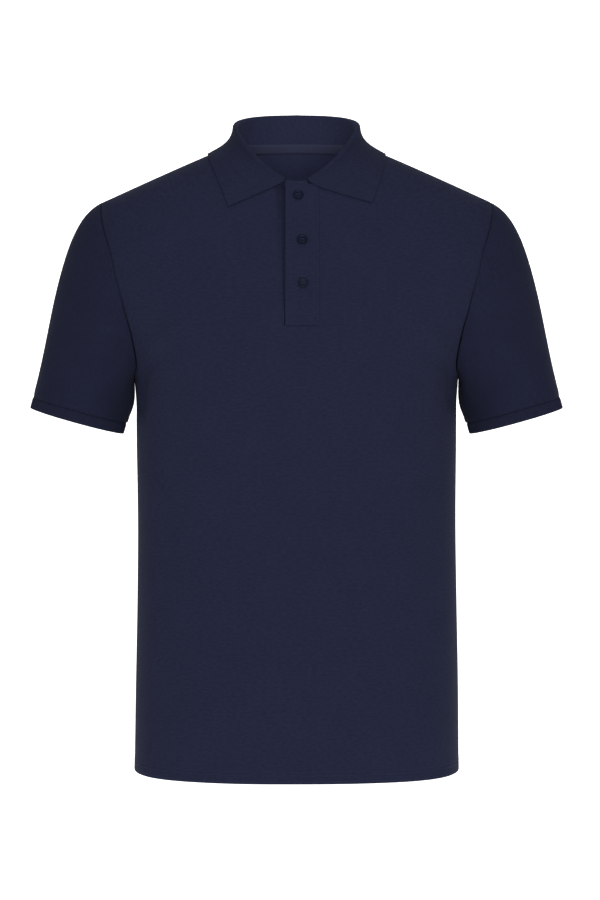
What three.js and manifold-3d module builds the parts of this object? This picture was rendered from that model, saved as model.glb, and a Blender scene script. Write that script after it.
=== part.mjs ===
// A short-sleeved polo shirt, filled out as if it were worn, with nobody in it.
// Millimetres, +Z up. The front faces -Y and the wearer's left side is at +X.
// The origin is in the middle of the neck, level with the high points of the shoulders,
// which is where the shirt hangs from the wearer.
// Each cloth piece is a wall around a surface: rows of points run from the hem up to the neck,
// and each row is one smooth curve from the middle of the shirt out to a seam.
import * as THREE from "three";
import { mergeVertices } from "three/addons/utils/BufferGeometryUtils.js";
import Module from "manifold-3d";

// Cloth
const CLOTH = 1.4; // thickness of the body cloth
const HEM_EXTRA = 1.0; // the turned-up hem is this much thicker
const HEM_DEPTH = 22; // height of the turned-up hem
const KNIT = 2.0; // thickness of the knitted collar and cuffs
const SEAM = 0.3; // gap between pieces that are sewn together

// Body sizes
const HEM_Z = -700;
const UNDERARM_Z = -262;
const SHOULDER_TIP = { x: 216.5, z: -62 };
const NECK_SIDE_X = 76; // half the neck's width at the shoulder seams

// How many steps the rows and columns of the body panels take
const SIDE_STEPS = 13;
const ARMHOLE_STEPS = 13;
const SHOULDER_STEPS = 6;
const HALF_STEPS = 12;
const SLOT_STEPS = 3;

// Placket, measured across the chest from the middle of the shirt
const SLOT_LEFT = -14;
const SLOT_RIGHT = 25.3;
const PLACKET_EDGE = -12; // the free edge of the upper placket
const PLACKET_FOOT_Z = -202;
const PLACKET_HEAD = 2.915; // the station where the placket ends, just below the collar
const PLACKET_THICK = 2.2;
const PLACKET_PROUD = 0.7;
const UNDER_PLACKET = { left: -18, right: 29, below: 5, thick: 1.6 };

// Collar
const FOLD_ROUND = 3.2; // radius of the roll along the fold
const COLLAR_LIFT = 2.8; // the outer face of the leaf's edge above the shirt
const COLLAR_STEPS = 26; // from the front end round to the middle of the back

// Buttons
const BUTTON = { radius: 5.9, thick: 2.3, hole: 0.8, holeOut: 1.55 };
const BUTTONS = [
  { name: "button_1", x: 1.9, z: -56.9 },
  { name: "button_2", x: 6.2, z: -106 },
  { name: "button_3", x: 7.3, z: -152.8 },
];

// Half the body's width at the side seams, by height
const SIDE = [
  { at: HEM_Z, x: 182.8 },
  { at: -600, x: 181.7 },
  { at: -510, x: 180.0 },
  { at: -420, x: 178.9 },
  { at: -330, x: 179.7 },
  { at: -290, x: 180.0 },
  { at: -262, x: 181.6 },
];

// The middle of the front and of the back, seen from the side: depth by height
const FRONT_PROFILE = [
  { at: HEM_Z, y: -118 },
  { at: -600, y: -117 },
  { at: -500, y: -113 },
  { at: -420, y: -113 },
  { at: -330, y: -119 },
  { at: -250, y: -126 },
  { at: -190, y: -126 },
  { at: -130, y: -114 },
  { at: -90, y: -97 },
  { at: -42, y: -74 },
];
const BACK_PROFILE = [
  { at: HEM_Z, y: 112 },
  { at: -600, y: 110 },
  { at: -500, y: 103 },
  { at: -420, y: 101 },
  { at: -330, y: 108 },
  { at: -250, y: 117 },
  { at: -180, y: 120 },
  { at: -110, y: 111 },
  { at: -50, y: 90 },
  { at: 3, y: 64 },
];

// The height at which each row crosses the middle: station 1 starts at the underarm,
// 2 at the tip of the shoulder and 3 is the neckline
const FRONT_MIDDLE = [
  { at: 1, z: UNDERARM_Z },
  { at: 1.3846, z: -202 },
  { at: 2, z: -100 },
  { at: 2.5, z: -68 },
  { at: 3, z: -42 },
];
const BACK_MIDDLE = [
  { at: 1, z: UNDERARM_Z },
  { at: 1.5, z: -160 },
  { at: 2, z: -72 },
  { at: 2.5, z: -29 },
  { at: 3, z: 3 },
];

// Between the underarm (0) and the shoulder tip (1) the rows head for a side line at x, z, and
// are cut off at the armhole after these shares of their way
const ARMHOLE = [
  { at: 0, x: 181.6, z: UNDERARM_Z, front: 1, back: 1 },
  { at: 0.1, x: 183.8, z: -255, front: 0.875, back: 0.875 },
  { at: 0.2, x: 188, z: -243, front: 0.775, back: 0.775 },
  { at: 0.35, x: 205, z: -212, front: 0.68, back: 0.675 },
  { at: 0.5, x: 226, z: -176, front: 0.62, back: 0.62 },
  { at: 0.65, x: 237, z: -140, front: 0.62, back: 0.615 },
  { at: 0.8, x: 233, z: -106, front: 0.69, back: 0.68 },
  { at: 0.92, x: 223.5, z: -78, front: 0.84, back: 0.83 },
  { at: 1, x: SHOULDER_TIP.x, z: SHOULDER_TIP.z, front: 1, back: 1 },
];

// The shoulder seam from its tip to the neck
const SHOULDER = [
  { at: 0, x: SHOULDER_TIP.x, z: SHOULDER_TIP.z },
  { at: 0.4, x: 160, z: -36.3 },
  { at: 0.75, x: 112, z: -15.2 },
  { at: 1, x: NECK_SIDE_X, z: 0 },
];

// How full a row is, across the chest and round the side: 0.55 is an ellipse, more is squarer
const FULLNESS = [
  { at: 0, across: 0.73, round: 0.68 },
  { at: 0.5, across: 0.66, round: 0.65 },
  { at: 1, across: 0.63, round: 0.63 },
  { at: 2, across: 0.6, round: 0.6 },
  { at: 3, across: 0.57, round: 0.57 },
];

// Sleeve: how it leaves the armhole, from the underarm (0) to the shoulder tip (1), on the front.
// It sets off along x, y, z for the length leave, and reaches the cuff after the length reach.
const SLEEVE = [
  { at: 0, x: -0.02, y: 0, z: -1, leave: 23, reach: 8 },
  { at: 0.1, x: 0.4, y: -0.1, z: -0.9, leave: 20, reach: 13 },
  { at: 0.2, x: 0.72, y: -0.14, z: -0.66, leave: 20, reach: 24 },
  { at: 0.35, x: 0.88, y: -0.06, z: -0.45, leave: 30, reach: 40 },
  { at: 0.5, x: 0.92, y: 0.1, z: -0.37, leave: 38, reach: 58 },
  { at: 0.65, x: 0.93, y: 0.2, z: -0.33, leave: 44, reach: 80 },
  { at: 0.8, x: 0.93, y: 0.22, z: -0.32, leave: 47, reach: 104 },
  { at: 0.92, x: 0.92, y: 0.1, z: -0.38, leave: 48, reach: 124 },
  { at: 1, x: 0.91, y: 0, z: -0.415, leave: 50, reach: 130 },
];
const SLEEVE_STEPS = 12;
const CUFF_MIDDLE = { x: 247, y: 2, z: -307.2 }; // centre of the open end
const CUFF_TILT = 15.6; // degrees between the sleeve and the vertical
const CUFF_LEAN = 0.5; // degrees by which the sleeve's end points forwards
const CUFF_HALF_WIDTH = 55;
const CUFF_HALF_DEPTH = 57;
const CUFF_DEPTH = 13;
const CUFF_DRAWN_IN = 1.0; // the knitted cuff is this much smaller than the sleeve
const CUFF_STEPS = 2;

// The collar's fold, seen from above as an oval, and its height by the angle from the front
const FOLD = { halfWidth: 68.2, halfDepth: 66, middleY: -7.5 };
const FOLD_HEIGHT = [
  { at: 0, z: -45 },
  { at: 10, z: -38 },
  { at: 25, z: -26.5 },
  { at: 42, z: -11 },
  { at: 65, z: 9.5 },
  { at: 90, z: 24 },
  { at: 120, z: 32.5 },
  { at: 150, z: 37 },
  { at: 180, z: 38.5 },
];
// The leaf's edge by the same angle: where it lies on the front, as seen from the front, and
// how far its upper part drops before it turns outwards. The two ends of the collar differ a
// little: this one is on the wearer's left.
const LEAF_LEFT = [
  { at: 10, x: 82, z: -65.5, drop: 10 },
  { at: 30, x: 86, z: -56.5, drop: 12 },
  { at: 50, x: 91, z: -42.5, drop: 14 },
  { at: 70, x: 96, z: -26, drop: 15 },
  { at: 90, x: 99, z: -9.7, drop: 17 },
];
// The same on the wearer's right, measured the other way
const LEAF_RIGHT = [
  { at: 10, x: 74, z: -69.5, drop: 5 },
  { at: 30, x: 78, z: -60, drop: 9 },
  { at: 50, x: 84.5, z: -44.5, drop: 13 },
  { at: 70, x: 92, z: -26.5, drop: 15 },
  { at: 90, x: 99, z: -9.7, drop: 17 },
];
// The same on the back, by station and by share of the row
const LEAF_BACK = [
  { at: 90, station: 2.84, share: 1, drop: 17 },
  { at: 115, station: 2.83, share: 0.72, drop: 21 },
  { at: 145, station: 2.815, share: 0.38, drop: 25 },
  { at: 180, station: 2.81, share: 0, drop: 26 },
];
const STAND_STEPS = 3;
const ROLL_STEPS = 4;
const LEAF_STEPS = 6;

const TAPE = { from: 108, thick: 1.0, above: 2.2, below: 0.1, lean: 0.9 };

const MATERIALS = {
  cloth: new THREE.MeshStandardMaterial({ color: 0x1d2136, roughness: 0.9, metalness: 0 }),
  knit: new THREE.MeshStandardMaterial({ color: 0x1b1f33, roughness: 0.92, metalness: 0 }),
  tape: new THREE.MeshStandardMaterial({ color: 0x2a2f47, roughness: 0.9, metalness: 0 }),
  button: new THREE.MeshStandardMaterial({ color: 0x15192b, roughness: 0.35, metalness: 0 }),
};

const vector = (x, y, z) => new THREE.Vector3(x, y, z);
const plus = (a, b, times = 1) => a.clone().addScaledVector(b, times);
const UP = vector(0, 0, 1);
const radians = THREE.MathUtils.degToRad;
const lerp = THREE.MathUtils.lerp;
const steps = (n, from = 0, to = 1) => Array.from({ length: n + 1 }, (_, i) => lerp(from, to, i / n));

// Reads a table at a place between its rows: each named column is a smooth curve through the rows.
function read(table, at) {
  const last = table.length - 1;
  const next = table.findIndex((row) => row.at > at);
  const i = next < 0 ? last - 1 : Math.max(0, next - 1);
  const span = table[i + 1].at - table[i].at;
  const t = (at - table[i].at) / span;
  const slope = (key, j) => {
    const low = table[Math.max(0, j - 1)];
    const high = table[Math.min(last, j + 1)];
    return ((high[key] - low[key]) / (high.at - low.at)) * span;
  };
  const found = {};
  for (const key of Object.keys(table[i])) {
    const [a, b] = [table[i][key], table[i + 1][key]];
    found[key] =
      a * (1 + 2 * t) * (1 - t) ** 2 +
      slope(key, i) * t * (1 - t) ** 2 +
      b * t * t * (3 - 2 * t) +
      slope(key, i + 1) * t * t * (t - 1);
  }
  return found;
}

// Where a row starts, in the middle of the front or back, and the side line that it heads for
function rowEnds(isFront, station) {
  const profile = isFront ? FRONT_PROFILE : BACK_PROFILE;
  const middle = station <= 1
    ? lerp(HEM_Z, UNDERARM_Z, station)
    : read(isFront ? FRONT_MIDDLE : BACK_MIDDLE, station).z;
  let side;
  if (station <= 1) side = { x: read(SIDE, middle).x, z: middle };
  else if (station <= 2) side = read(ARMHOLE, station - 1);
  else side = read(SHOULDER, station - 2);
  const short = (isFront ? -1 : 1) * SEAM * 0.5; // panels stop short of the side and shoulder seams
  return { start: vector(0, read(profile, middle).y, middle), end: vector(side.x, short, side.z) };
}

// The first part of a curve, up to this share of it
function firstPart({ v0, v1, v2, v3 }, share) {
  const [a, b, c] = [v0.clone().lerp(v1, share), v1.clone().lerp(v2, share), v2.clone().lerp(v3, share)];
  const [d, e] = [a.clone().lerp(b, share), b.clone().lerp(c, share)];
  return new THREE.CubicBezierCurve3(v0, a, d, d.clone().lerp(e, share));
}

// One row of the front or back, on the wearer's left: a curve from the middle to the seam
function rowCurve(isFront, station) {
  const { start, end } = rowEnds(isFront, station);
  const { across, round } = read(FULLNESS, station);
  const whole = new THREE.CubicBezierCurve3(
    start,
    plus(start, vector(end.x, 0, 0), across),
    plus(end, vector(0, start.y - end.y, 0), round),
    end,
  );
  if (station <= 1 || station >= 2) return whole;
  const cut = read(ARMHOLE, station - 1);
  return firstPart(whole, isFront ? cut.front : cut.back);
}

// The share of a row at which it is this far from the middle
function shareAt(curve, x) {
  let [low, high] = [0, 1];
  for (let i = 0; i < 40; i += 1) {
    const half = (low + high) / 2;
    if (curve.getPoint(half).x < x) low = half;
    else high = half;
  }
  return (low + high) / 2;
}

// A point of the front or back. share is along the row, and mirror is -1 on the wearer's right.
function panelPoint(isFront, station, share, mirror = 1) {
  const p = rowCurve(isFront, station).getPoint(share);
  return vector(p.x * mirror, p.y, p.z);
}

// The outward direction of the front or back at a point
function panelNormal(isFront, station, share, mirror = 1) {
  const d = 0.004;
  const [low, high] = [Math.max(0, share - d), Math.min(1, share + d)];
  const [under, over] = [Math.max(0, station - d), Math.min(3, station + d)];
  const along = panelPoint(isFront, station, high).sub(panelPoint(isFront, station, low));
  const up = panelPoint(isFront, over, share).sub(panelPoint(isFront, under, share));
  const n = along.cross(up).normalize();
  if (!isFront) n.negate();
  return vector(n.x * mirror, n.y, n.z);
}

const STATIONS = [
  ...steps(SIDE_STEPS, 0, 1),
  ...steps(ARMHOLE_STEPS, 1, 2).slice(1),
  ...steps(SHOULDER_STEPS, 2, 3).slice(1),
];
const UNDERARM_ROW = SIDE_STEPS;
const TIP_ROW = SIDE_STEPS + ARMHOLE_STEPS;

// The signed shares of a front row's columns, from the wearer's right seam to the left one.
// The columns beside the placket's slot are straight lines down the chest.
function frontShares(curve) {
  const left = shareAt(curve, -SLOT_LEFT);
  const right = shareAt(curve, SLOT_RIGHT);
  const slot = steps(SLOT_STEPS, SLOT_LEFT, SLOT_RIGHT).slice(1, -1);
  return [
    ...steps(HALF_STEPS, -1, -left),
    ...slot.map((x) => Math.sign(x) * shareAt(curve, Math.abs(x))),
    ...steps(HALF_STEPS, right, 1),
  ];
}

// The average direction of the faces around each point of a grid, outwards
function gridNormals(grid, around) {
  const normals = grid.map((row) => row.map(() => vector(0, 0, 0)));
  const cells = around ? grid[0].length : grid[0].length - 1;
  for (let i = 0; i < grid.length - 1; i += 1) {
    for (let j = 0; j < cells; j += 1) {
      const k = (j + 1) % grid[0].length;
      const corners = [[i, j], [i, k], [i + 1, k], [i + 1, j]];
      const [a, b, c, d] = corners.map(([r, s]) => grid[r][s]);
      const face = c.clone().sub(a).cross(d.clone().sub(b));
      corners.forEach(([r, s]) => normals[r][s].add(face));
    }
  }
  return normals.map((row) => row.map((n) => n.normalize()));
}

// A closed wall on a grid of points. The grid's face is the wall's outer face, and thick is a
// number or a function of row and column. Cells for which skip says true are left open.
function wall(grid, { thick = CLOTH, around = false, skip = () => false, fix = (n) => n } = {}) {
  const depth = typeof thick === "number" ? () => thick : thick;
  const [rows, columns] = [grid.length, grid[0].length];
  const normals = gridNormals(grid, around).map((row, i) => row.map((n, j) => fix(n, i, j)));
  const points = [...grid.flat()];
  grid.forEach((row, i) => row.forEach((p, j) => points.push(plus(p, normals[i][j], -depth(i, j)))));
  const outer = (i, j) => i * columns + (j % columns);
  const inner = (i, j) => rows * columns + outer(i, j);
  const triangles = [];
  const quad = (a, b, c, d) => {
    const short = points[a].distanceTo(points[c]) <= points[b].distanceTo(points[d]) + 1e-6;
    if (short) triangles.push(a, b, c, a, c, d);
    else triangles.push(a, b, d, b, c, d);
  };
  const cells = around ? columns : columns - 1;
  const kept = (i, j) => {
    const column = around ? (j + cells) % cells : j;
    return i >= 0 && i < rows - 1 && column >= 0 && column < cells && !skip(i, column);
  };
  for (let i = 0; i < rows - 1; i += 1) {
    for (let j = 0; j < cells; j += 1) {
      if (!kept(i, j)) continue;
      const corners = [[i, j], [i, j + 1], [i + 1, j + 1], [i + 1, j]];
      quad(...corners.map((c) => outer(...c)));
      quad(...corners.reverse().map((c) => inner(...c)));
      const neighbours = [[i - 1, j, i, j, i, j + 1], [i, j + 1, i, j + 1, i + 1, j + 1]];
      neighbours.push([i + 1, j, i + 1, j + 1, i + 1, j], [i, j - 1, i + 1, j, i, j]);
      for (const [r, s, a, b, c, d] of neighbours) {
        if (!kept(r, s)) quad(outer(a, b), inner(a, b), inner(c, d), outer(c, d));
      }
    }
  }
  return geometry(points, triangles);
}

// A mesh geometry from points and triangles, without the points that no triangle uses
function geometry(points, triangles) {
  const used = [...new Set(triangles)].sort((a, b) => a - b);
  const place = new Map(used.map((old, i) => [old, i]));
  const made = new THREE.BufferGeometry();
  const places = used.flatMap((i) => points[i].toArray());
  made.setAttribute("position", new THREE.Float32BufferAttribute(places, 3));
  made.setIndex(triangles.map((i) => place.get(i)));
  made.computeVertexNormals();
  return made;
}

// A wall's thickness direction has no part across the seam, so that both sides of it match.
const levelAcross = (n) => vector(n.x, 0, n.z).normalize();

const frontCurves = STATIONS.map((station) => rowCurve(true, station));
const frontGrid = STATIONS.map((station, i) =>
  frontShares(frontCurves[i]).map((share) => panelPoint(true, station, Math.abs(share), Math.sign(share))),
);
const backShares = [...steps(HALF_STEPS + 1, 1, 0), ...steps(HALF_STEPS + 1, 0, -1).slice(1)];
const backGrid = STATIONS.map((station) =>
  backShares.map((share) => panelPoint(false, station, Math.abs(share), Math.sign(share) || 1)),
);
const lastFront = frontGrid[0].length - 1;
const lastBack = backGrid[0].length - 1;
const isSeamRow = (i) => i <= UNDERARM_ROW || i >= TIP_ROW;
const hemThick = (i) => (i / SIDE_STEPS) * (UNDERARM_Z - HEM_Z) < HEM_DEPTH ? CLOTH + HEM_EXTRA : CLOTH;

// The first front row above the placket's foot
const PLACKET_ROW = STATIONS.findIndex((station) => rowEnds(true, station).start.z > PLACKET_FOOT_Z - 1);

const group = new THREE.Group();
function add(name, shape, material) {
  const mesh = new THREE.Mesh(shape, material);
  mesh.name = name;
  group.add(mesh);
}

add(
  "front",
  wall(frontGrid, {
    thick: hemThick,
    skip: (i, j) => i >= PLACKET_ROW && j >= HALF_STEPS && j < HALF_STEPS + SLOT_STEPS,
    fix: (n, i, j) => ((j === 0 || j === lastFront) && isSeamRow(i) ? levelAcross(n) : n),
  }),
  MATERIALS.cloth,
);
add(
  "back",
  wall(backGrid, {
    thick: hemThick,
    fix: (n, i, j) => ((j === 0 || j === lastBack) && isSeamRow(i) ? levelAcross(n) : n),
  }),
  MATERIALS.cloth,
);


// Sleeves: the edge of the armhole, from the underarm over the front to the tip and back down
function armholePoint(t) {
  const isFront = t <= 0.5;
  const at = isFront ? 2 * t : 2 - 2 * t;
  const edge = panelPoint(isFront, 1 + at, 1);
  const gap = SEAM * (1.4 + 2 * Math.max(0, 1 - at / 0.2)); // wider where both sides hang down
  return vector(edge.x + gap, edge.y, edge.z);
}

// The sleeve's axis, and the two directions across its open end
const tilt = radians(CUFF_TILT);
const lean = radians(CUFF_LEAN);
const axis = vector(Math.sin(tilt), -Math.sin(lean), -Math.cos(tilt)).normalize();
const outwards = vector(Math.cos(tilt), 0, Math.sin(tilt));
const backwards = outwards.clone().cross(axis).normalize();

// A point on the ring that lies this far up the sleeve from the open end
function cuffPoint(t, up, smaller = 0) {
  const turn = 2 * Math.PI * t;
  const middle = plus(vector(CUFF_MIDDLE.x, CUFF_MIDDLE.y, CUFF_MIDDLE.z), axis, -up);
  const across = plus(middle, outwards, -Math.cos(turn) * (CUFF_HALF_WIDTH - smaller));
  return plus(across, backwards, -Math.sin(turn) * (CUFF_HALF_DEPTH - smaller));
}

function sleeveCurve(t) {
  const isFront = t <= 0.5;
  const way = read(SLEEVE, isFront ? 2 * t : 2 - 2 * t);
  const start = armholePoint(t);
  const leave = vector(way.x, isFront ? way.y : -way.y, way.z).normalize();
  const end = cuffPoint(t, CUFF_DEPTH);
  return new THREE.CubicBezierCurve3(start, plus(start, leave, way.leave), plus(end, axis, -way.reach), end);
}

const loop = steps(2 * ARMHOLE_STEPS).slice(0, -1);
const mirrored = (grid) => grid.map((row) => row.map((p) => vector(-p.x, p.y, p.z)).reverse());
const sleeveCurves = loop.map(sleeveCurve);
const sleeveGrid = steps(SLEEVE_STEPS, 1, 0).map((t) => sleeveCurves.map((curve) => curve.getPoint(t)));
const cuffGrid = steps(CUFF_STEPS, 0, CUFF_DEPTH - SEAM).map((up) =>
  loop.map((t) => cuffPoint(t, up, CUFF_DRAWN_IN)),
);
const sleeveThick = (i) => (i < 1 ? CLOTH + HEM_EXTRA * 0.5 : CLOTH);

add("sleeve_left", wall(sleeveGrid, { thick: sleeveThick, around: true }), MATERIALS.cloth);
add("sleeve_right", wall(mirrored(sleeveGrid), { thick: sleeveThick, around: true }), MATERIALS.cloth);
add("cuff_left", wall(cuffGrid, { thick: KNIT, around: true }), MATERIALS.knit);
add("cuff_right", wall(mirrored(cuffGrid), { thick: KNIT, around: true }), MATERIALS.knit);

// Points of the front or back near the neck, with their outward directions
function aroundNeck(isFront) {
  const found = [];
  for (const station of steps(40, 1.9, 3)) {
    for (const share of steps(40)) {
      found.push({ p: panelPoint(isFront, station, share), n: panelNormal(isFront, station, share) });
    }
  }
  return found;
}
const nearNeck = [...aroundNeck(true), ...aroundNeck(false)];

// Moves a point outwards until it is at least this high above the shirt
function keepAbove(point, height) {
  const moved = point.clone();
  for (let k = 0; k < 3; k += 1) {
    let best = nearNeck[0];
    for (const one of nearNeck) {
      if (one.p.distanceToSquared(moved) < best.p.distanceToSquared(moved)) best = one;
    }
    const above = moved.clone().sub(best.p).dot(best.n);
    if (above >= height) break;
    moved.addScaledVector(best.n, height - above);
  }
  return moved;
}

// The station and share of the front's point that lies here, as seen from the front
function frontPlace(x, z) {
  let [low, high] = [2, 3];
  let share = 0;
  for (let i = 0; i < 30; i += 1) {
    const half = (low + high) / 2;
    const curve = rowCurve(true, half);
    share = shareAt(curve, x);
    if (curve.getPoint(share).z < z) low = half;
    else high = half;
  }
  return { station: low, share };
}

// The neckline's point under an angle of the collar, 0 at the front and 180 at the back
function necklinePoint(angle) {
  return angle <= 90 ? panelPoint(true, 3, angle / 90) : panelPoint(false, 3, (180 - angle) / 90);
}

const outOfNeck = (angle) => vector(Math.sin(radians(angle)), -Math.cos(radians(angle)), 0);

function foldPoint(angle) {
  const out = outOfNeck(angle);
  const z = read(FOLD_HEIGHT, angle).z;
  return vector(out.x * FOLD.halfWidth, out.y * FOLD.halfDepth + FOLD.middleY, z);
}

// One section of the collar, seen from the neck: up the stand, over the roll and down the leaf
function collarSection(angle, front) {
  const out = outOfNeck(angle);
  const fold = foldPoint(angle);
  const along = foldPoint(angle + 0.5).sub(foldPoint(angle - 0.5)).normalize();
  const outer = plus(out, along, -out.dot(along)).normalize();
  const up = along.clone().cross(outer).normalize();
  if (up.z < 0) up.negate();
  const centre = plus(fold, up, -FOLD_ROUND);
  const roll = steps(ROLL_STEPS, 0, Math.PI).map((turn) =>
    plus(plus(centre, outer, -Math.cos(turn) * FOLD_ROUND), up, Math.sin(turn) * FOLD_ROUND),
  );
  const foot = plus(plus(necklinePoint(angle), UP, SEAM * 1.5), out, -KNIT);
  const stand = new THREE.CubicBezierCurve3(foot, plus(foot, UP, 4), plus(roll[0], up, -4), roll[0]);
  const isFront = angle <= 90;
  const edge = read(isFront ? front : LEAF_BACK, angle);
  const { station, share } = isFront ? frontPlace(edge.x, edge.z) : edge;
  const surface = panelPoint(isFront, station, share);
  const lift = panelNormal(isFront, station, Math.min(0.98, share));
  const end = plus(surface, lift, COLLAR_LIFT);
  const turned = plus(roll[ROLL_STEPS], up, -edge.drop);
  const settle = plus(turned.clone().lerp(end, 0.45), lift, 1.5);
  const leaf = new THREE.CubicBezierCurve3(roll[ROLL_STEPS], turned, settle, end);
  const down = leaf.getPoints(LEAF_STEPS).slice(1);
  return [
    ...stand.getPoints(STAND_STEPS).slice(0, -1),
    ...roll,
    ...down.map((p) => keepAbove(p, COLLAR_LIFT)),
  ];
}

// The rows of a piece whose sections run from one end round the back to the other. The half on
// the wearer's right is given as its mirror image.
function allRound(left, right = left) {
  const other = right.slice(0, -1).map((section) => section.map((p) => vector(-p.x, p.y, p.z)));
  const sections = [...other, ...[...left].reverse()];
  return sections[0].map((_, i) => sections.map((section) => section[i]));
}

const collarAngles = steps(COLLAR_STEPS, LEAF_LEFT[0].at, 180);
const collarLeft = collarAngles.map((angle) => collarSection(angle, LEAF_LEFT));
const collarRight = collarAngles.map((angle) => collarSection(angle, LEAF_RIGHT));
add("collar", wall(allRound(collarLeft, collarRight), { thick: KNIT }), MATERIALS.knit);

// The station whose row crosses the middle of the front at this height
function stationAt(z) {
  let [low, high] = [1, 3];
  for (let i = 0; i < 30; i += 1) {
    const half = (low + high) / 2;
    if (rowEnds(true, half).start.z < z) low = half;
    else high = half;
  }
  return low;
}

// Plackets: strips of the front's surface between two distances across it, moved in or out
function strip(left, right, columns, lowest, height) {
  const foot = stationAt(lowest);
  const between = STATIONS.filter((station) => station > foot + 0.01 && station < PLACKET_HEAD - 0.01);
  const stations = [foot, ...between, PLACKET_HEAD];
  return stations.map((station) => {
    const curve = rowCurve(true, station);
    return steps(columns, left, right).map((x) => {
      const share = shareAt(curve, Math.abs(x));
      const side = Math.sign(x) || 1;
      return plus(panelPoint(true, station, share, side), panelNormal(true, station, share, side), height);
    });
  });
}

const topStrip = strip(PLACKET_EDGE, SLOT_RIGHT - SEAM, 4, PLACKET_FOOT_Z + 2 * SEAM, PLACKET_PROUD);
const underDepth = PLACKET_PROUD - PLACKET_THICK - SEAM;
const underFoot = PLACKET_FOOT_Z - UNDER_PLACKET.below;
const underStrip = strip(UNDER_PLACKET.left, UNDER_PLACKET.right, 4, underFoot, underDepth);
add("placket_top", wall(topStrip, { thick: PLACKET_THICK }), MATERIALS.cloth);
add("placket_under", wall(underStrip, { thick: UNDER_PLACKET.thick }), MATERIALS.cloth);

// Buttons: a rimmed disc with four holes, standing on the upper placket
const manifold = await Module();
manifold.setup();

function solidOf(shape) {
  const plain = new THREE.BufferGeometry();
  plain.setAttribute("position", shape.attributes.position);
  plain.setIndex(shape.index);
  const merged = mergeVertices(plain, 1e-4);
  const vertProperties = merged.attributes.position.array;
  return new manifold.Manifold(
    new manifold.Mesh({ numProp: 3, vertProperties, triVerts: new Uint32Array(merged.index.array) }),
  );
}

function shapeOf(solid) {
  const { vertProperties, triVerts } = solid.getMesh();
  const made = new THREE.BufferGeometry();
  made.setAttribute("position", new THREE.Float32BufferAttribute(vertProperties, 3));
  made.setIndex(Array.from(triVerts));
  made.computeVertexNormals();
  return made;
}

// The button lies on its back with its face up +Y, in the middle of its own frame.
function buttonShape() {
  const { radius, thick, hole, holeOut } = BUTTON;
  const profile = [
    [0, 0],
    [radius * 0.86, 0],
    [radius, thick * 0.4],
    [radius, thick * 0.75],
    [radius * 0.9, thick],
    [radius * 0.72, thick],
    [radius * 0.6, thick * 0.72],
    [0, thick * 0.72],
  ].map(([r, y]) => new THREE.Vector2(r, y));
  let disc = solidOf(new THREE.LatheGeometry(profile, 20));
  for (const angle of [45, 135, 225, 315].map(radians)) {
    const cutter = new THREE.CylinderGeometry(hole, hole, 3 * thick, 8);
    cutter.translate(Math.cos(angle) * holeOut, 0, Math.sin(angle) * holeOut);
    disc = disc.subtract(solidOf(cutter));
  }
  return shapeOf(disc);
}

function addButton({ name, x, z }) {
  const station = stationAt(z);
  const share = shareAt(rowCurve(true, station), Math.abs(x));
  const normal = panelNormal(true, station, share);
  const seat = plus(panelPoint(true, station, share), normal, PLACKET_PROUD + SEAM);
  const up = vector(1, 0, 0).cross(normal).normalize();
  const turn = new THREE.Matrix4().makeBasis(normal.clone().cross(up), normal, up);
  add(name, buttonShape().applyMatrix4(turn.setPosition(seat)), MATERIALS.button);
}
BUTTONS.forEach(addButton);

// Tape inside the back of the neck, over the seam between the collar and the back
function tapeSection(angle) {
  const out = outOfNeck(angle);
  const line = necklinePoint(angle);
  const inside = -(KNIT + SEAM + TAPE.thick);
  const lower = panelPoint(false, 3 - TAPE.below * 2, (180 - angle) / 90);
  const normal = panelNormal(false, 3 - TAPE.below * 2, (180 - angle) / 90);
  return [
    plus(lower, normal, -(CLOTH + SEAM + TAPE.thick)),
    plus(plus(line, out, inside), UP, -1.5),
    plus(plus(line, out, inside - TAPE.lean), UP, TAPE.above),
  ];
}
const tapeHalf = steps(10, TAPE.from, 180).map(tapeSection);
add("neck_tape", wall(allRound(tapeHalf), { thick: TAPE.thick }), MATERIALS.tape);

export default group;
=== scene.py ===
"""A polo shirt of navy pique knit, filled out as if it were worn, dressed over its solids."""

import math
from bisect import bisect_right

import bmesh
import bpy
from mathutils import Matrix, Vector
from mathutils.kdtree import KDTree


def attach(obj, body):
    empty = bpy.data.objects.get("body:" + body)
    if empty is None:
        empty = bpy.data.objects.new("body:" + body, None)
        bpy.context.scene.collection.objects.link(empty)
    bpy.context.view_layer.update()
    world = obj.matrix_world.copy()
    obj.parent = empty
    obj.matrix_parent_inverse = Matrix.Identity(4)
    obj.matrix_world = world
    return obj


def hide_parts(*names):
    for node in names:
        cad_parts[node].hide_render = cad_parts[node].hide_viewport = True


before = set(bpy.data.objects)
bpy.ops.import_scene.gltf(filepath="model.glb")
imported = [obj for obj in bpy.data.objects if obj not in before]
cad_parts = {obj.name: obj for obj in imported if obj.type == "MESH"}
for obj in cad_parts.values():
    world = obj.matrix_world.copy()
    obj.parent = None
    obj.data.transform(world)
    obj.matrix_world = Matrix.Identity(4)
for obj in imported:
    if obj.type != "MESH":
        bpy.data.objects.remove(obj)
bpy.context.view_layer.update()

bl_info = {
    "name": "Polo shirt",
    "version": (1, 0, 0),
    "blender": (4, 5, 0),
    "location": "View3D > Sidebar > Polo shirt",
    "description": "Makes a short-sleeved polo shirt, piece by piece",
    "category": "Add Mesh",
}

MM = 0.001

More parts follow.
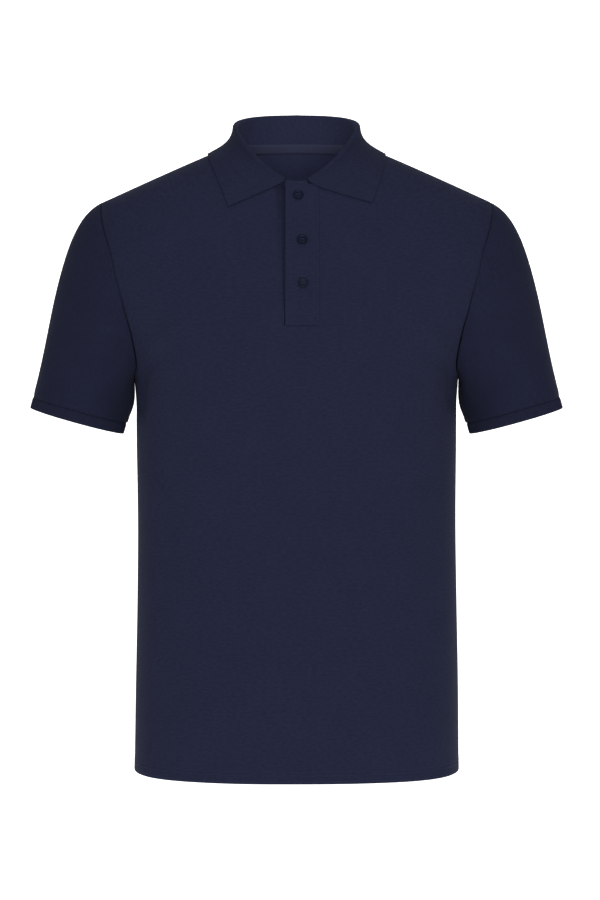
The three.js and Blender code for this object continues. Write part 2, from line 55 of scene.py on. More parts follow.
# Sizes of the shirt in millimetres, as in its solids
HEM_Z = -700.0
UNDERARM_Z = -262.0
SLOT_LEFT = -14.0
SLOT_RIGHT = 25.15
PLACKET_EDGE = -12.0  # the upper placket's free edge
PLACKET_FOOT_Z = -198.5
PLACKET_HEAD = 2.915  # the station at which it meets the collar
PLACKET_PROUD = 0.7  # how far its face stands above the front
PLACKET_SEAM = 25.1
PLACKET_STITCH = 23.6  # the line of stitches beside its seam
PLACKET_DIP = 0.12  # how far the cloth pulls in at the placket's seams
PLACKET_DIP_WIDTH = 1.8
BOX_LINES = (-185.8, -196.6)  # heights of the stitches across the placket's foot
HEAD_LINE = -50.6  # height of those across its head
GAPE_UP = 150  # how far above its foot the placket's free edge stands open fully
STITCH_DIP = 0.18  # how far the placket's stitches pull it in
STITCH_DIP_WIDTH = 0.8
UNDER_LEFT = -18.0
UNDER_RIGHT = 29.0

# Half the body's width at the side seams, by height
SIDE = {
    "at": (-700, -600, -510, -420, -330, -290, -262),
    "x": (182.8, 181.7, 180.0, 178.9, 179.7, 180.0, 181.6),
}
# The middle of the front and of the back, seen from the side: depth by height
FRONT_PROFILE = {
    "at": (-700, -600, -500, -420, -330, -250, -190, -130, -90, -42),
    "y": (-118, -117, -113, -113, -119, -126, -126, -114, -97, -74),
}
BACK_PROFILE = {
    "at": (-700, -600, -500, -420, -330, -250, -180, -110, -50, 3),
    "y": (112, 110, 103, 101, 108, 117, 120, 111, 90, 64),
}
# The height at which each row crosses the middle: station 1 is the underarm, 2 the tip of
# the shoulder and 3 the neckline
FRONT_MIDDLE = {"at": (1, 1.3846, 2, 2.5, 3), "z": (-262, -202, -100, -68, -42)}
BACK_MIDDLE = {"at": (1, 1.5, 2, 2.5, 3), "z": (-262, -160, -72, -29, 3)}
# Between the underarm (0) and the shoulder tip (1) the rows head for a side line at x, z and
# are cut off at the armhole after these shares of their way
ARMHOLE = {
    "at": (0, 0.1, 0.2, 0.35, 0.5, 0.65, 0.8, 0.92, 1),
    "x": (181.6, 183.8, 188, 205, 226, 237, 233, 223.5, 216.5),
    "z": (-262, -255, -243, -212, -176, -140, -106, -78, -62),
    "front": (1, 0.875, 0.775, 0.68, 0.62, 0.62, 0.69, 0.84, 1),
    "back": (1, 0.875, 0.775, 0.675, 0.62, 0.615, 0.68, 0.83, 1),
}
# The shoulder seam from its tip to the neck
SHOULDER = {"at": (0, 0.4, 0.75, 1), "x": (216.5, 160, 112, 76), "z": (-62, -36.3, -15.2, 0)}
# How full a row is, across the chest and round the side
FULLNESS = {
    "at": (0, 0.5, 1, 2, 3),
    "across": (0.73, 0.66, 0.63, 0.6, 0.57),
    "round": (0.68, 0.65, 0.63, 0.6, 0.57),
}
# How the sleeve leaves the armhole, from the underarm (0) to the shoulder tip (1), on the front
SLEEVE = {
    "at": (0, 0.1, 0.2, 0.35, 0.5, 0.65, 0.8, 0.92, 1),
    "x": (-0.02, 0.4, 0.72, 0.88, 0.92, 0.93, 0.93, 0.92, 0.91),
    "y": (0, -0.1, -0.14, -0.06, 0.1, 0.2, 0.22, 0.1, 0),
    "z": (-1, -0.9, -0.66, -0.45, -0.37, -0.33, -0.32, -0.38, -0.415),
    "leave": (23, 20, 20, 30, 38, 44, 47, 48, 50),
    "reach": (8, 13, 24, 40, 58, 80, 104, 124, 130),
}
# The left cuff's opening: its middle, its tilt as seen from the front and its lean as seen from
# the side, half its width and depth, and the height of the band above it
CUFF_MIDDLE = Vector((247, 2, -307.2))
CUFF_TILT = math.radians(15.6)
CUFF_LEAN = math.radians(0.5)
CUFF_HALF_WIDTH = 55.0
CUFF_HALF_DEPTH = 57.0
CUFF_DEPTH = 13.0
# The collar's fold: an oval round the neck, the radius to which the knit is folded, and its
# height by the angle round the neck, from the front (0) to the back (180)
FOLD_HALF_WIDTH = 68.2
FOLD_HALF_DEPTH = 66.0
FOLD_MIDDLE_Y = -7.5
FOLD_ROUND = 3.2
FOLD_HEIGHT = {
    "at": (0, 10, 25, 42, 65, 90, 120, 150, 180),
    "z": (-45, -38, -26.5, -11, 9.5, 24, 32.5, 37, 38.5),
}
# The leaf's edge by the same angle, as seen from the front, and how far its upper part drops,
# for the end on the wearer's left and the one on the right
LEAF_LEFT = {
    "at": (10, 30, 50, 70, 90),
    "x": (82, 86, 91, 96, 99),
    "z": (-65.5, -56.5, -42.5, -26, -9.7),
    "drop": (10, 12, 14, 15, 17),
}
LEAF_RIGHT = {
    "at": (10, 30, 50, 70, 90),
    "x": (74, 78, 84.5, 92, 99),
    "z": (-69.5, -60, -44.5, -26.5, -9.7),
    "drop": (5, 9, 13, 15, 17),
}
# Further round, the edge lies on the back at these stations and shares of the rows
LEAF_BACK = {
    "at": (90, 115, 145, 180),
    "station": (2.84, 2.83, 2.815, 2.81),
    "share": (1, 0.72, 0.38, 0),
    "drop": (17, 21, 25, 26),
}
# Each button's name and middle, as seen from the front
BUTTONS = (("button_1", 1.9, -56.9), ("button_2", 6.2, -106.0), ("button_3", 7.3, -152.8))

# Soft creases in the cloth, as seen from the front: each runs from x1, z1 to x2, z2, this wide,
# and stands out by height, or dips where that is negative. Those on the back have side 1.
CREASES = {
    "side": (-1,) * 14 + (1,) * 10,
    "x1": (-172, -168, -176, 172, 167, 176, 96, 128, 150, -120, -60, 40, -170, 170,
           -170, 170, -168, 168, -174, 174, -90, 60, 130, -20),
    "z1": (-236, -258, -210, -232, -256, -208, -560, -590, -600, -600, -630, -640, -240, -236,
           -240, -236, -240, -240, -212, -212, -560, -580, -520, -330),
    "x2": (-118, -110, -150, 116, 112, 150, 104, 136, 158, -126, -66, 46, -171.5, 171.5,
           -171.5, 171.5, -108, 110, -146, 146, -98, 66, 138, 10),
    "z2": (-186, -232, -120, -180, -230, -118, -690, -690, -690, -690, -695, -695, -306, -298,
           -306, -298, -192, -188, -122, -120, -692, -694, -690, -420),
    "width": (9, 10, 12, 9, 10, 12, 9, 9, 10, 12, 14, 13, 5.5, 5.5,
              5.5, 5.5, 10, 10, 13, 13, 13, 13, 14, 30),
    "height": (1.3, 1.0, 1.1, 1.2, 1.0, 1.0, 1.2, 1.0, 1.1, 0.9, 0.7, 0.7, -2.6, -2.8,
               -2.2, -2.4, 1.2, 1.2, 1.0, 1.0, 1.0, 0.9, 1.0, -2.0),
}
CREASE_STRENGTH = 1.6  # how much deeper than their heights these creases are
# The same on a sleeve: turn is the share of the way round from the underarm over the front,
# and down is the share of the length from the armhole to the cuff
SLEEVE_CREASES = {
    "turn1": (0.1, 0.15, 0.21, 0.9, 0.85, 0.79),
    "down1": (0.05, 0.02, 0.0, 0.05, 0.02, 0.0),
    "turn2": (0.17, 0.22, 0.31, 0.83, 0.77, 0.71),
    "down2": (0.75, 0.6, 0.45, 0.75, 0.6, 0.45),
    "width": (9, 10, 11, 9, 10, 11),
    "height": (1.2, -1.2, 1.0, 1.2, -1.2, 1.0),
}

# The shirt's surfaces


def steps(count, first=0.0, last=1.0):
    """Evenly spaced values from first to last, with both."""
    return [first + (last - first) * i / count for i in range(count + 1)]


def limited(value):
    """A share, kept between 0 and 1."""
    return min(1.0, max(0.0, value))


def eased(share):
    """A share that starts and ends slowly."""
    return share * share * (3 - 2 * share)


def bell(distance, width):
    """How strongly a soft bump or trough of this width shows at a distance from its middle."""
    return math.exp(-((distance / width) ** 2))


def halving(low, high, rounds, below):
    """The place between low and high at which below() stops being true."""
    for _ in range(rounds):
        half = (low + high) / 2
        if below(half):
            low = half
        else:
            high = half
    return low


def read(table, at):
    """Each named column of a table at a place between its rows, as a smooth curve."""
    places = table["at"]
    last = len(places) - 1
    i = 0
    while i < last - 1 and at >= places[i + 1]:
        i += 1
    span = places[i + 1] - places[i]
    t = (at - places[i]) / span
    found = {}
    for key, column in table.items():
        if key == "at":
            continue

        def slope(j):
            low, high = max(0, j - 1), min(last, j + 1)
            return (column[high] - column[low]) / (places[high] - places[low]) * span

        found[key] = (
            column[i] * (1 + 2 * t) * (1 - t) ** 2
            + slope(i) * t * (1 - t) ** 2
            + column[i + 1] * t * t * (3 - 2 * t)
            + slope(i + 1) * t * t * (t - 1)
        )
    return found


class Curve:
    """A cubic curve through four control points."""

    def __init__(self, *controls):
        self.controls = controls

    def point(self, t):
        a, b, c, d = self.controls
        s = 1 - t
        return a * s**3 + b * (3 * s * s * t) + c * (3 * s * t * t) + d * t**3

    def first_part(self, share):
        a, b, c, d = self.controls
        ab, bc, cd = a.lerp(b, share), b.lerp(c, share), c.lerp(d, share)
        abc, bcd = ab.lerp(bc, share), bc.lerp(cd, share)
        return Curve(a, ab, abc, abc.lerp(bcd, share))

    def share_at(self, x):
        """The share of the curve at which it is this far from the middle."""
        return halving(0.0, 1.0, 30, lambda share: self.point(share).x < x)


def row_curve(is_front, station):
    """One row of the front or back, on the wearer's left, from the middle to the seam."""
    if station <= 1:
        z = HEM_Z + (UNDERARM_Z - HEM_Z) * station
        side = {"x": read(SIDE, z)["x"], "z": z}
    else:
        z = read(FRONT_MIDDLE if is_front else BACK_MIDDLE, station)["z"]
        side = read(ARMHOLE, station - 1) if station <= 2 else read(SHOULDER, station - 2)
    y = read(FRONT_PROFILE if is_front else BACK_PROFILE, z)["y"]
    full = read(FULLNESS, station)
    start, end = Vector((0, y, z)), Vector((side["x"], 0, side["z"]))
    whole = Curve(
        start,
        start + Vector((side["x"] * full["across"], 0, 0)),
        end + Vector((0, y * full["round"], 0)),
        end,
    )
    if station <= 1 or station >= 2:
        return whole
    return whole.first_part(side["front" if is_front else "back"])


def mirrored(point):
    return Vector((-point.x, point.y, point.z))


def panel_point(is_front, station, share, mirror=1):
    point = row_curve(is_front, station).point(share)
    return point if mirror > 0 else mirrored(point)


def panel_normal(is_front, station, share, mirror=1):
    """The outward direction of the front or back at a point."""
    step = 0.004
    curve = row_curve(is_front, station)
    along = curve.point(min(1, share + step)) - curve.point(max(0, share - step))
    over = row_curve(is_front, min(3, station + step)).point(share)
    under = row_curve(is_front, max(0, station - step)).point(share)
    normal = along.cross(over - under).normalized()
    if not is_front:
        normal = -normal
    return normal if mirror > 0 else mirrored(normal)


def station_at(z):
    """The station whose row crosses the middle of the front at this height."""
    return halving(1.0, 3.0, 30, lambda station: read(FRONT_MIDDLE, station)["z"] < z)


def front_place(x, z):
    """The station and share of the front's point here, as seen from the front."""

    def lower(station):
        curve = row_curve(True, station)
        return curve.point(curve.share_at(x)).z < z

    station = halving(2.0, 3.0, 26, lower)
    return station, row_curve(True, station).share_at(x)


def side_of(x):
    return -1 if x < 0 else 1


def raised(is_front, station, share, height, mirror=1):
    """A point this high above the front or back, with the outward direction there."""
    normal = panel_normal(is_front, station, share, mirror)
    return panel_point(is_front, station, share, mirror) + normal * height, normal


def on_front(x, z, height):
    """The same for a place on the front, as seen from the front."""
    if z > PLACKET_FOOT_Z - 60 and abs(x) < 60:
        station = station_at(z)
    else:
        station = 1 - (UNDERARM_Z - z) / (UNDERARM_Z - HEM_Z)
    share = row_curve(True, station).share_at(abs(x))
    return raised(True, station, share, height, side_of(x))


def ridge(along, across, width, taper=0.28):
    """How strongly a crease shows at a place: along is its share, across a distance."""
    if along <= 0 or along >= 1:
        return 0.0
    ends = min(1, along / taper) * min(1, (1 - along) / taper)
    return eased(ends) * bell(across, width)


def crease_place(here, start, end):
    """How far along a crease a place is, as a share, and how far off to its side."""
    way = end - start
    off = here - start
    return off.dot(way) / way.length_squared, abs(off.x * way.y - off.y * way.x) / way.length


def crease_height(point):
    """How far the cloth stands out at a point of the body because of its creases."""
    total = 0.0
    here = Vector((point.x, point.z))
    for side, x1, z1, x2, z2, width, height in zip(*CREASES.values()):
        if side != side_of(point.y):
            continue
        along, across = crease_place(here, Vector((x1, z1)), Vector((x2, z2)))
        if across < 3 * width:
            total += CREASE_STRENGTH * height * ridge(along, across, width)
    return total


def slow_wave(point):
    """The slight unevenness of hanging cloth, in millimetres."""
    down = limited((-150 - point.z) / 400)
    wave = math.sin(point.x / 31 + point.z / 170 + 0.6)
    wave += 0.6 * math.sin(point.x / 17 - point.z / 240 + 2.1)
    broad = math.sin(point.z / 88 + point.x / 140) * 0.7
    return 0.55 * down * wave + 0.35 * broad


# Meshes


def grid_normals(rows, around):
    """The outward direction at each point of a grid."""
    count, wide = len(rows), len(rows[0])
    found = []
    for i in range(count):
        line = []
        for j in range(wide):
            if around:
                before, after = rows[i][(j - 1) % (wide - 1)], rows[i][(j + 1) % (wide - 1)]
            else:
                before, after = rows[i][max(0, j - 1)], rows[i][min(wide - 1, j + 1)]
            over, under = rows[min(count - 1, i + 1)][j], rows[max(0, i - 1)][j]
            line.append((after - before).cross(over - under).normalized())
        found.append(line)
    return found


def moved_out(rows, height, around=False):
    """A grid with each point moved outwards by height(i, j, point)."""
    normals = grid_normals(rows, around)
    return [
        [p + normals[i][j] * height(i, j, p) for j, p in enumerate(row)]
        for i, row in enumerate(rows)
    ]


def sheet_mesh(rows, around=False, left_out=None):
    """A cloth sheet on a grid of points in millimetres. Its UV map is in metres along the cloth.

    left_out(i, j) tells which of the grid's cells are holes.
    """
    count, wide = len(rows), len(rows[0])
    bm = bmesh.new()
    bmesh.ops.create_grid(bm, x_segments=wide - 1, y_segments=count - 1, size=0.5)
    uv = bm.loops.layers.uv.new("cloth")
    across = []
    for row in rows:
        line = [0.0]
        for j in range(1, wide):
            line.append(line[-1] + (row[j] - row[j - 1]).length * MM)
        across.append([value - line[wide // 2] for value in line])
    up = [0.0]
    for i in range(1, count):
        up.append(up[-1] + (rows[i][wide // 2] - rows[i - 1][wide // 2]).length * MM)
    place = {}
    for vert in bm.verts:
        i = round((vert.co.y + 0.5) * (count - 1))
        j = round((vert.co.x + 0.5) * (wide - 1))
        place[vert] = (i, j)
    for face in bm.faces:
        face.smooth = True
        for loop in face.loops:
            i, j = place[loop.vert]
            loop[uv].uv = (across[i][j], up[i])
    for vert, (i, j) in place.items():
        vert.co = rows[i][j] * MM
    if left_out:
        cells = {face: min(place[vert] for vert in face.verts) for face in bm.faces}
        gone = [face for face, cell in cells.items() if left_out(*cell)]
        bmesh.ops.delete(bm, geom=gone, context="FACES")
    if around:
        bmesh.ops.remove_doubles(bm, verts=bm.verts, dist=1e-6)
    return bm


def smooth(bm):
    for face in bm.faces:
        face.smooth = True


def linked(name, data):
    made = bpy.data.objects.new(name, data)
    bpy.context.scene.collection.objects.link(made)
    return made


def object_from(bm, name):
    """An object whose mesh is the bmesh, which is used up."""
    mesh = bpy.data.meshes.new(name)
    bm.to_mesh(mesh)
    bm.free()
    return linked(name, mesh)


def finished(bm, name, material, replaced=()):
    """Turns a bmesh into a piece of the shirt."""
    piece = object_from(bm, name)
    piece.data.materials.append(material)
    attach(piece, "root")
    if replaced:
        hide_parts(*replaced)
    return piece


def thicken(piece, thickness, rounded=0.0):
    """Gives a sheet its wall, inwards, and rounds the edges of the wall."""
    solid = piece.modifiers.new("Wall", "SOLIDIFY")
    solid.thickness = thickness * MM
    solid.offset = -1
    solid.use_rim = True
    solid.use_even_offset = False
    if rounded:
        bevel = piece.modifiers.new("Rounded edge", "BEVEL")
        bevel.width = rounded * MM
        bevel.segments = 2
        bevel.limit_method = "ANGLE"
        bevel.angle_limit = math.radians(55)
        bevel.harden_normals = False
    return piece


# Finishes


class Value:
    """A number that varies over a surface, with its sums written as Python."""

    def __init__(self, finish, socket):
        self.finish = finish
        self.socket = socket

    def maths(self, operation, *others):
        made = self.finish.node("ShaderNodeMath", {"operation": operation}, {0: self.socket})
        for k, other in enumerate(others, 1):
            self.finish.put(made.inputs[k], other)
        return Value(self.finish, made.outputs[0])

    def __add__(self, other):
        return self.maths("ADD", other)

    __radd__ = __add__

    def __mul__(self, other):
        return self.maths("MULTIPLY", other)

    __rmul__ = __mul__

    def __sub__(self, other):
        return self.maths("SUBTRACT", other)

    def __rsub__(self, other):
        return self * -1 + other

    def sine(self):
        return self.maths("SINE")

    def triangle(self, width):
        return self.maths("PINGPONG", width)


class Finish:
    """A procedural material."""

    def __init__(self, name, **constants):
        self.material = bpy.data.materials.new(name)
        self.material.use_nodes = True
        self.tree = self.material.node_tree
        self.shader = self.tree.nodes["Principled BSDF"]
        for socket, value in constants.items():
            self.shader.inputs[socket.replace("_", " ")].default_value = value

    def put(self, socket, value):
        if isinstance(value, Value):
            value = value.socket
        if isinstance(value, bpy.types.NodeSocket):
            self.tree.links.new(value, socket)
        else:
            socket.default_value = value

    def node(self, kind, settings=None, sockets=None):
        made = self.tree.nodes.new(kind)
        for key, value in (settings or {}).items():
            setattr(made, key, value)
        for key, value in (sockets or {}).items():
            self.put(made.inputs[key], value)
        return made

    def along_cloth(self):
        """Distances across and up the cloth, in millimetres."""
        uv = self.node("ShaderNodeUVMap", {"uv_map": "cloth"})
        parts = self.node("ShaderNodeSeparateXYZ", None, {0: uv.outputs["UV"]})
        return Value(self, parts.outputs["X"]) * 1000, Value(self, parts.outputs["Y"]) * 1000

    def noise(self, scale, detail=2.0, rough=0.5):
        """Noise from 0 to 1; scale is how many lumps there are to a metre."""
        place = self.node("ShaderNodeTexCoord")
        sockets = {"Vector": place.outputs["Object"], "Scale": scale, "Detail": detail}
        sockets["Roughness"] = rough
        return Value(self, self.node("ShaderNodeTexNoise", None, sockets).outputs["Fac"])

    def streaks(self, across, up, detail=3.0):
        """Noise from 0 to 1 on the cloth, with lumps this many millimetres wide and high."""
        uv = self.node("ShaderNodeUVMap", {"uv_map": "cloth"})
        sizes = {0: uv.outputs["UV"], 1: (1000 / across, 1000 / up, 1)}
        place = self.node("ShaderNodeVectorMath", {"operation": "MULTIPLY"}, sizes)
        sockets = {"Vector": place.outputs["Vector"], "Scale": 1.0, "Detail": detail}
        return Value(self, self.node("ShaderNodeTexNoise", None, sockets).outputs["Fac"])

    def colour(self, factor, dark, light):
        mix = self.node("ShaderNodeMix", {"data_type": "RGBA", "clamp_factor": True}, {0: factor})
        mix.inputs["A"].default_value = (*dark, 1)
        mix.inputs["B"].default_value = (*light, 1)
        self.put(self.shader.inputs["Base Color"], mix.outputs["Result"])

    def relief(self, height, depth, strength=1.0):
        """Bump from a height of 0 to 1 that stands for this depth in millimetres."""
        sockets = {"Height": height, "Distance": depth * MM, "Strength": strength}
        bump = self.node("ShaderNodeBump", None, sockets)
        self.put(self.shader.inputs["Normal"], bump.outputs["Normal"])

    def roughness(self, value):
        self.put(self.shader.inputs["Roughness"], value)


def shaded(colour, factor):
    """A colour, made brighter or darker by this factor."""
    return tuple(channel * factor for channel in colour)


def wool(name, sheen=0.02):
    """The shader of a soft matt yarn."""
    finish = Finish(name, Roughness=0.9, Sheen_Weight=sheen, Sheen_Roughness=0.45)
    finish.shader.inputs["Sheen Tint"].default_value = (0.75, 0.8, 1.0, 1)
    finish.shader.inputs["Specular IOR Level"].default_value = 0.05
    return finish


def pique(name, colour):
    """Body cloth: staggered cells of pique knit with a slight melange."""
    finish = wool(name)
    across, up = finish.along_cloth()
    turn = 2 * math.pi
    cells = (across * (turn / 1.7)).sine() * (up * (turn / 1.45)).sine()
    yarn = (across * (turn / 0.85) + up * (turn / 2.9)).sine()
    cloudy = finish.noise(26, 4, 0.6)
    fibre = finish.noise(900, 3, 0.65)
    melange = finish.streaks(5.5, 2.2)
    shade = 0.5 + cells * 0.14 + (cloudy - 0.5) * 0.5 + (fibre - 0.5) * 0.6 + (melange - 0.5) * 1.5
    finish.colour(shade, shaded(colour, 0.8), shaded(colour, 1.22))
    finish.relief(0.5 + cells * 0.3 + yarn * 0.08 + (fibre - 0.5) * 0.5, 0.35, 0.7)
    finish.roughness(0.86 + fibre * 0.1)
    return finish.material


def flat_knit(name, colour):
    """Collar and cuffs: fine ribs that run from the seam to the free edge."""
    finish = wool(name)
    across, up = finish.along_cloth()
    turn = 2 * math.pi
    ribs = (across * (turn / 1.6)).sine()
    loops = (up * (turn / 1.1) + ribs * 0.8).sine()
    cloudy = finish.noise(40, 3, 0.6)
    fibre = finish.noise(1100, 3, 0.65)
    melange = finish.streaks(3.0, 3.6)
    shade = 0.5 + ribs * 0.12 + loops * 0.06 + (cloudy - 0.5) * 0.4 + (fibre - 0.5) * 0.6
    finish.colour(shade + (melange - 0.5) * 1.4, shaded(colour, 0.8), shaded(colour, 1.22))
    finish.relief(0.5 + ribs * 0.26 + loops * 0.14 + (fibre - 0.5) * 0.4, 0.35, 0.7)
    finish.roughness(0.88 + fibre * 0.08)
    return finish.material


def herringbone(name, colour):
    """Neck tape: slanting ribs that turn round in the middle."""
    finish = wool(name)
    across, up = finish.along_cloth()
    slant = (across + up.triangle(2.1) * 1.2) * (2 * math.pi / 1.3)
    ribs = slant.sine()
    fibre = finish.noise(1200, 2)
    finish.colour(0.5 + ribs * 0.3 + (fibre - 0.5) * 0.5, shaded(colour, 0.75), shaded(colour, 1.2))
    finish.relief(0.5 + ribs * 0.4, 0.2, 0.7)
    return finish.material


def thread(name, colour):
    """Sewing thread: a twisted strand."""
    finish = Finish(name, Roughness=0.7, Sheen_Weight=0.02)
    finish.shader.inputs["Specular IOR Level"].default_value = 0.2
    place = finish.node("ShaderNodeTexCoord")
    parts = finish.node("ShaderNodeSeparateXYZ", None, {0: place.outputs["Object"]})
    along = Value(finish, parts.outputs["X"]) + Value(finish, parts.outputs["Z"])
    twist = (along * (2 * math.pi / 0.0006)).sine()
    finish.colour(0.5 + twist * 0.4, shaded(colour, 0.8), shaded(colour, 1.2))
    finish.relief(0.5 + twist * 0.4, 0.05, 0.5)
    return finish.material


def moulded(name, colour):
    """Buttons: dyed resin with faint clouds, a little glossy, with a thin clear coat."""
    finish = Finish(name, Roughness=0.4, Coat_Weight=0.02)
    finish.shader.inputs["Coat Roughness"].default_value = 0.25
    finish.shader.inputs["Specular IOR Level"].default_value = 0.06
    clouds = finish.noise(160, 4, 0.6)
    scuffs = finish.noise(1500, 2)
    finish.colour(clouds, shaded(colour, 0.75), shaded(colour, 1.35))
    finish.roughness(0.36 + scuffs * 0.14)
    finish.relief(scuffs, 0.02, 0.3)
    return finish.material


def stage_paper(name, glow):
    """The plain pale floor and backdrop."""
    finish = Finish(name, Roughness=0.95)
    finish.shader.inputs["Emission Color"].default_value = (1, 1, 1, 1)
    finish.shader.inputs["Emission Strength"].default_value = glow
    grain = finish.noise(3, 1)
    finish.colour(grain, (0.86, 0.86, 0.86), (0.88, 0.88, 0.88))
    return finish.material


def once(name, maker, *values):
    """A material by name, made when it is first asked for."""
    return bpy.data.materials.get(name) or maker(name, *values)


# Pieces

# How many rows there are up to the underarm, the shoulder tip and the neck, and how many columns
# on each side of the slot and across it
ROWS = {"side": 70, "armhole": 44, "shoulder": 24, "half": 62, "slot": 6}
# Thickness of the body cloth, of the collar and cuffs, of the placket's two layers and the tape
CLOTH = 1.4
KNIT = 1.9
UPPER = 2.1
LOWER = 1.6
TAPE = 0.9
HEM_UP = 15.5  # height of the turned-up hem
HEM_INSIDE = 3.0  # how far behind the shirt's face the turned-up part lies
HEM_LINES = (9.6, 13.9)  # heights of the two rows of stitches above the hem
# Heights of the rows near the hem, which are close together beside the stitches
HEM_ROWS = (0, 1.2, 4, 7, 8.2, 9.1, 9.6, 10.1, 11, 12.4, 13.4, 13.9, 14.4, 15.5, 17, 21)
HEM_ROUND = 1.2  # how high the hem's rounded edge is
ABOVE_HEM = 34  # the height above the hem from which the rows are evenly spaced
SEAM_DIP = 0.25  # how far the cloth pulls in beside a seam
SEAM_DIP_WIDTH = 1.7
VALLEY = 0.5  # and how far it is drawn in under the arm
VALLEY_WIDTH = 9


def stations():
    """The rows of the front and back, and which of them is the placket's foot."""
    side = UNDERARM_Z - HEM_Z
    found = [up / side for up in HEM_ROWS]
    found += steps(ROWS["side"], ABOVE_HEM / side, 1)
    found += steps(ROWS["armhole"], 1, 2)[1:]
    found += steps(ROWS["shoulder"], 2, 3)[1:]
    foot = station_at(PLACKET_FOOT_Z)
    nearest = min(range(len(found)), key=lambda i: abs(found[i] - foot))
    found[nearest] = foot
    return found, nearest


def valley(z):
    """How strongly the cloth is drawn into the fold between sleeve and body at this height."""
    over, under = (z - UNDERARM_Z - 50) / 40, (UNDERARM_Z + 24 - z) / 11
    return bell(max(0.0, over, under), 1)


def seam_dip(row, j):
    """Cloth pulls in beside a seam at either end of a row, most of all under the arm."""
    near = min((row[j] - row[0]).length, (row[j] - row[-1]).length)
    dip = SEAM_DIP * bell(near, SEAM_DIP_WIDTH) if abs(row[j].z - UNDERARM_Z) > 25 else 0.0
    return -dip - VALLEY * valley(row[j].z) * bell(near, VALLEY_WIDTH)


def turned_hem(rows):
    """Adds the part of a panel that is folded up inside it, below its lowest row."""
    normals = grid_normals(rows[:3], False)[0]

    def moved(back, up):
        return [p - n * back + Vector((0, 0, up)) for p, n in zip(rows[0], normals)]

    lines = [moved(HEM_INSIDE, up) for up in steps(4, HEM_UP, HEM_ROUND)]
    for turn in (30, 90, 150):
        angle = math.radians(turn)
        back = HEM_INSIDE / 2 * (1 + math.cos(angle))
        lines.append(moved(back, HEM_ROUND - HEM_ROUND * math.sin(angle)))
    return lines + [moved(0, HEM_ROUND)] + rows[2:]


def gape(z):
    """How far the placket's free edge stands open, from its foot (0) to the neck (1)."""
    return limited((z - PLACKET_FOOT_Z) / GAPE_UP)


def slot_left(z):
    """The slot's left side, which draws back a little towards the neck."""
    return SLOT_LEFT + 0.6 - 3.4 * gape(z)


def beside_placket(p):
    """The front beside its slot: it falls away under the free edge and into the seams."""
    if p.y > 0 or p.z < PLACKET_FOOT_Z - 12 or not -45 < p.x < 30:
        return 0.0
    out = 0.0
    if p.z > PLACKET_FOOT_Z - 2:
        left = max(0.0, slot_left(p.z) - p.x)
        right = max(0.0, p.x - SLOT_RIGHT)
        if p.x < SLOT_LEFT + 0.1:
            out -= (0.5 + 5.0 * gape(p.z)) * bell(left, 5.5)
        if p.x > SLOT_RIGHT - 0.1:
            out -= PLACKET_DIP * bell(right, PLACKET_DIP_WIDTH)
    if SLOT_LEFT - 0.1 < p.x < SLOT_RIGHT + 0.1:
        out -= PLACKET_DIP * bell(p.z - PLACKET_FOOT_Z, PLACKET_DIP_WIDTH)
    tail = max(0.0, 1 - max(0.0, PLACKET_FOOT_Z - p.z) / 9)
    return out - 0.9 * tail * bell(p.x + 13.6, 1.6)


def body_relief(rows):
    """Creases, unevenness and seams on a grid of the front or back."""

    def height(i, j, p):
        out = crease_height(p) + slow_wave(p) + seam_dip(rows[i], j) + beside_placket(p)
        above = p.z - HEM_Z
        if above < 40:
            out += 0.3 / (1 + math.exp((above - HEM_UP) / 0.6))
            for line in HEM_LINES:
                out -= 0.3 * bell(above - line, 0.7)
        return out

    return moved_out(rows, height)


BESIDE_SLOT = (0, 0.7, 1.5, 2.4, 3.5, 4.8, 6.4, 8.4)  # the first columns beside the slot


def half_columns(curve, inner, count):
    """Shares of a row from beside the slot to the seam."""
    near = [curve.share_at(inner + x) for x in BESIDE_SLOT]
    return near + steps(count, near[-1], 1)[1:]


def front_rows():
    """The front's rows, whose columns follow the slot's sides, and which row is its foot."""
    found, foot = stations()
    half, slot = ROWS["half"] - len(BESIDE_SLOT) + 1, ROWS["slot"]
    rows = []
    for station in found:
        curve = row_curve(True, station)
        first = slot_left(curve.point(0).z)
        left = [mirrored(curve.point(share)) for share in half_columns(curve, -first, half)]
        row = left[::-1]
        for x in steps(slot, first, SLOT_RIGHT)[1:-1]:
            point = curve.point(curve.share_at(abs(x)))
            row.append(point if x > 0 else mirrored(point))
        row += [curve.point(share) for share in half_columns(curve, SLOT_RIGHT, half)]
        rows.append(row)
    return rows, foot


def make_front(material):
    rows, foot = front_rows()
    moved = body_relief(rows)
    lines = turned_hem(moved)
    foot += len(lines) - len(moved)
    first, last = ROWS["half"], ROWS["half"] + ROWS["slot"]
    bm = sheet_mesh(lines, left_out=lambda i, j: i >= foot and first <= j < last)
    return thicken(finished(bm, "front_panel", material, ("front",)), CLOTH), moved


def make_back(material):
    found, _ = stations()
    shares = steps(ROWS["half"] + 3, 1, 0)
    rows = []
    for station in found:
        curve = row_curve(False, station)
        row = [curve.point(share) for share in shares]
        rows.append(row + [mirrored(p) for p in reversed(row[:-1])])
    moved = body_relief(rows)
    bm = sheet_mesh(turned_hem(moved))
    return thicken(finished(bm, "back_panel", material, ("back",)), CLOTH), moved


# Sleeves and cuffs

AXIS = Vector((math.sin(CUFF_TILT), -math.sin(CUFF_LEAN), -math.cos(CUFF_TILT))).normalized()
OUTWARDS = Vector((math.cos(CUFF_TILT), 0, math.sin(CUFF_TILT)))
BACKWARDS = OUTWARDS.cross(AXIS).normalized()
SLEEVE_GIRTH = 350.0  # once round the sleeve, on average


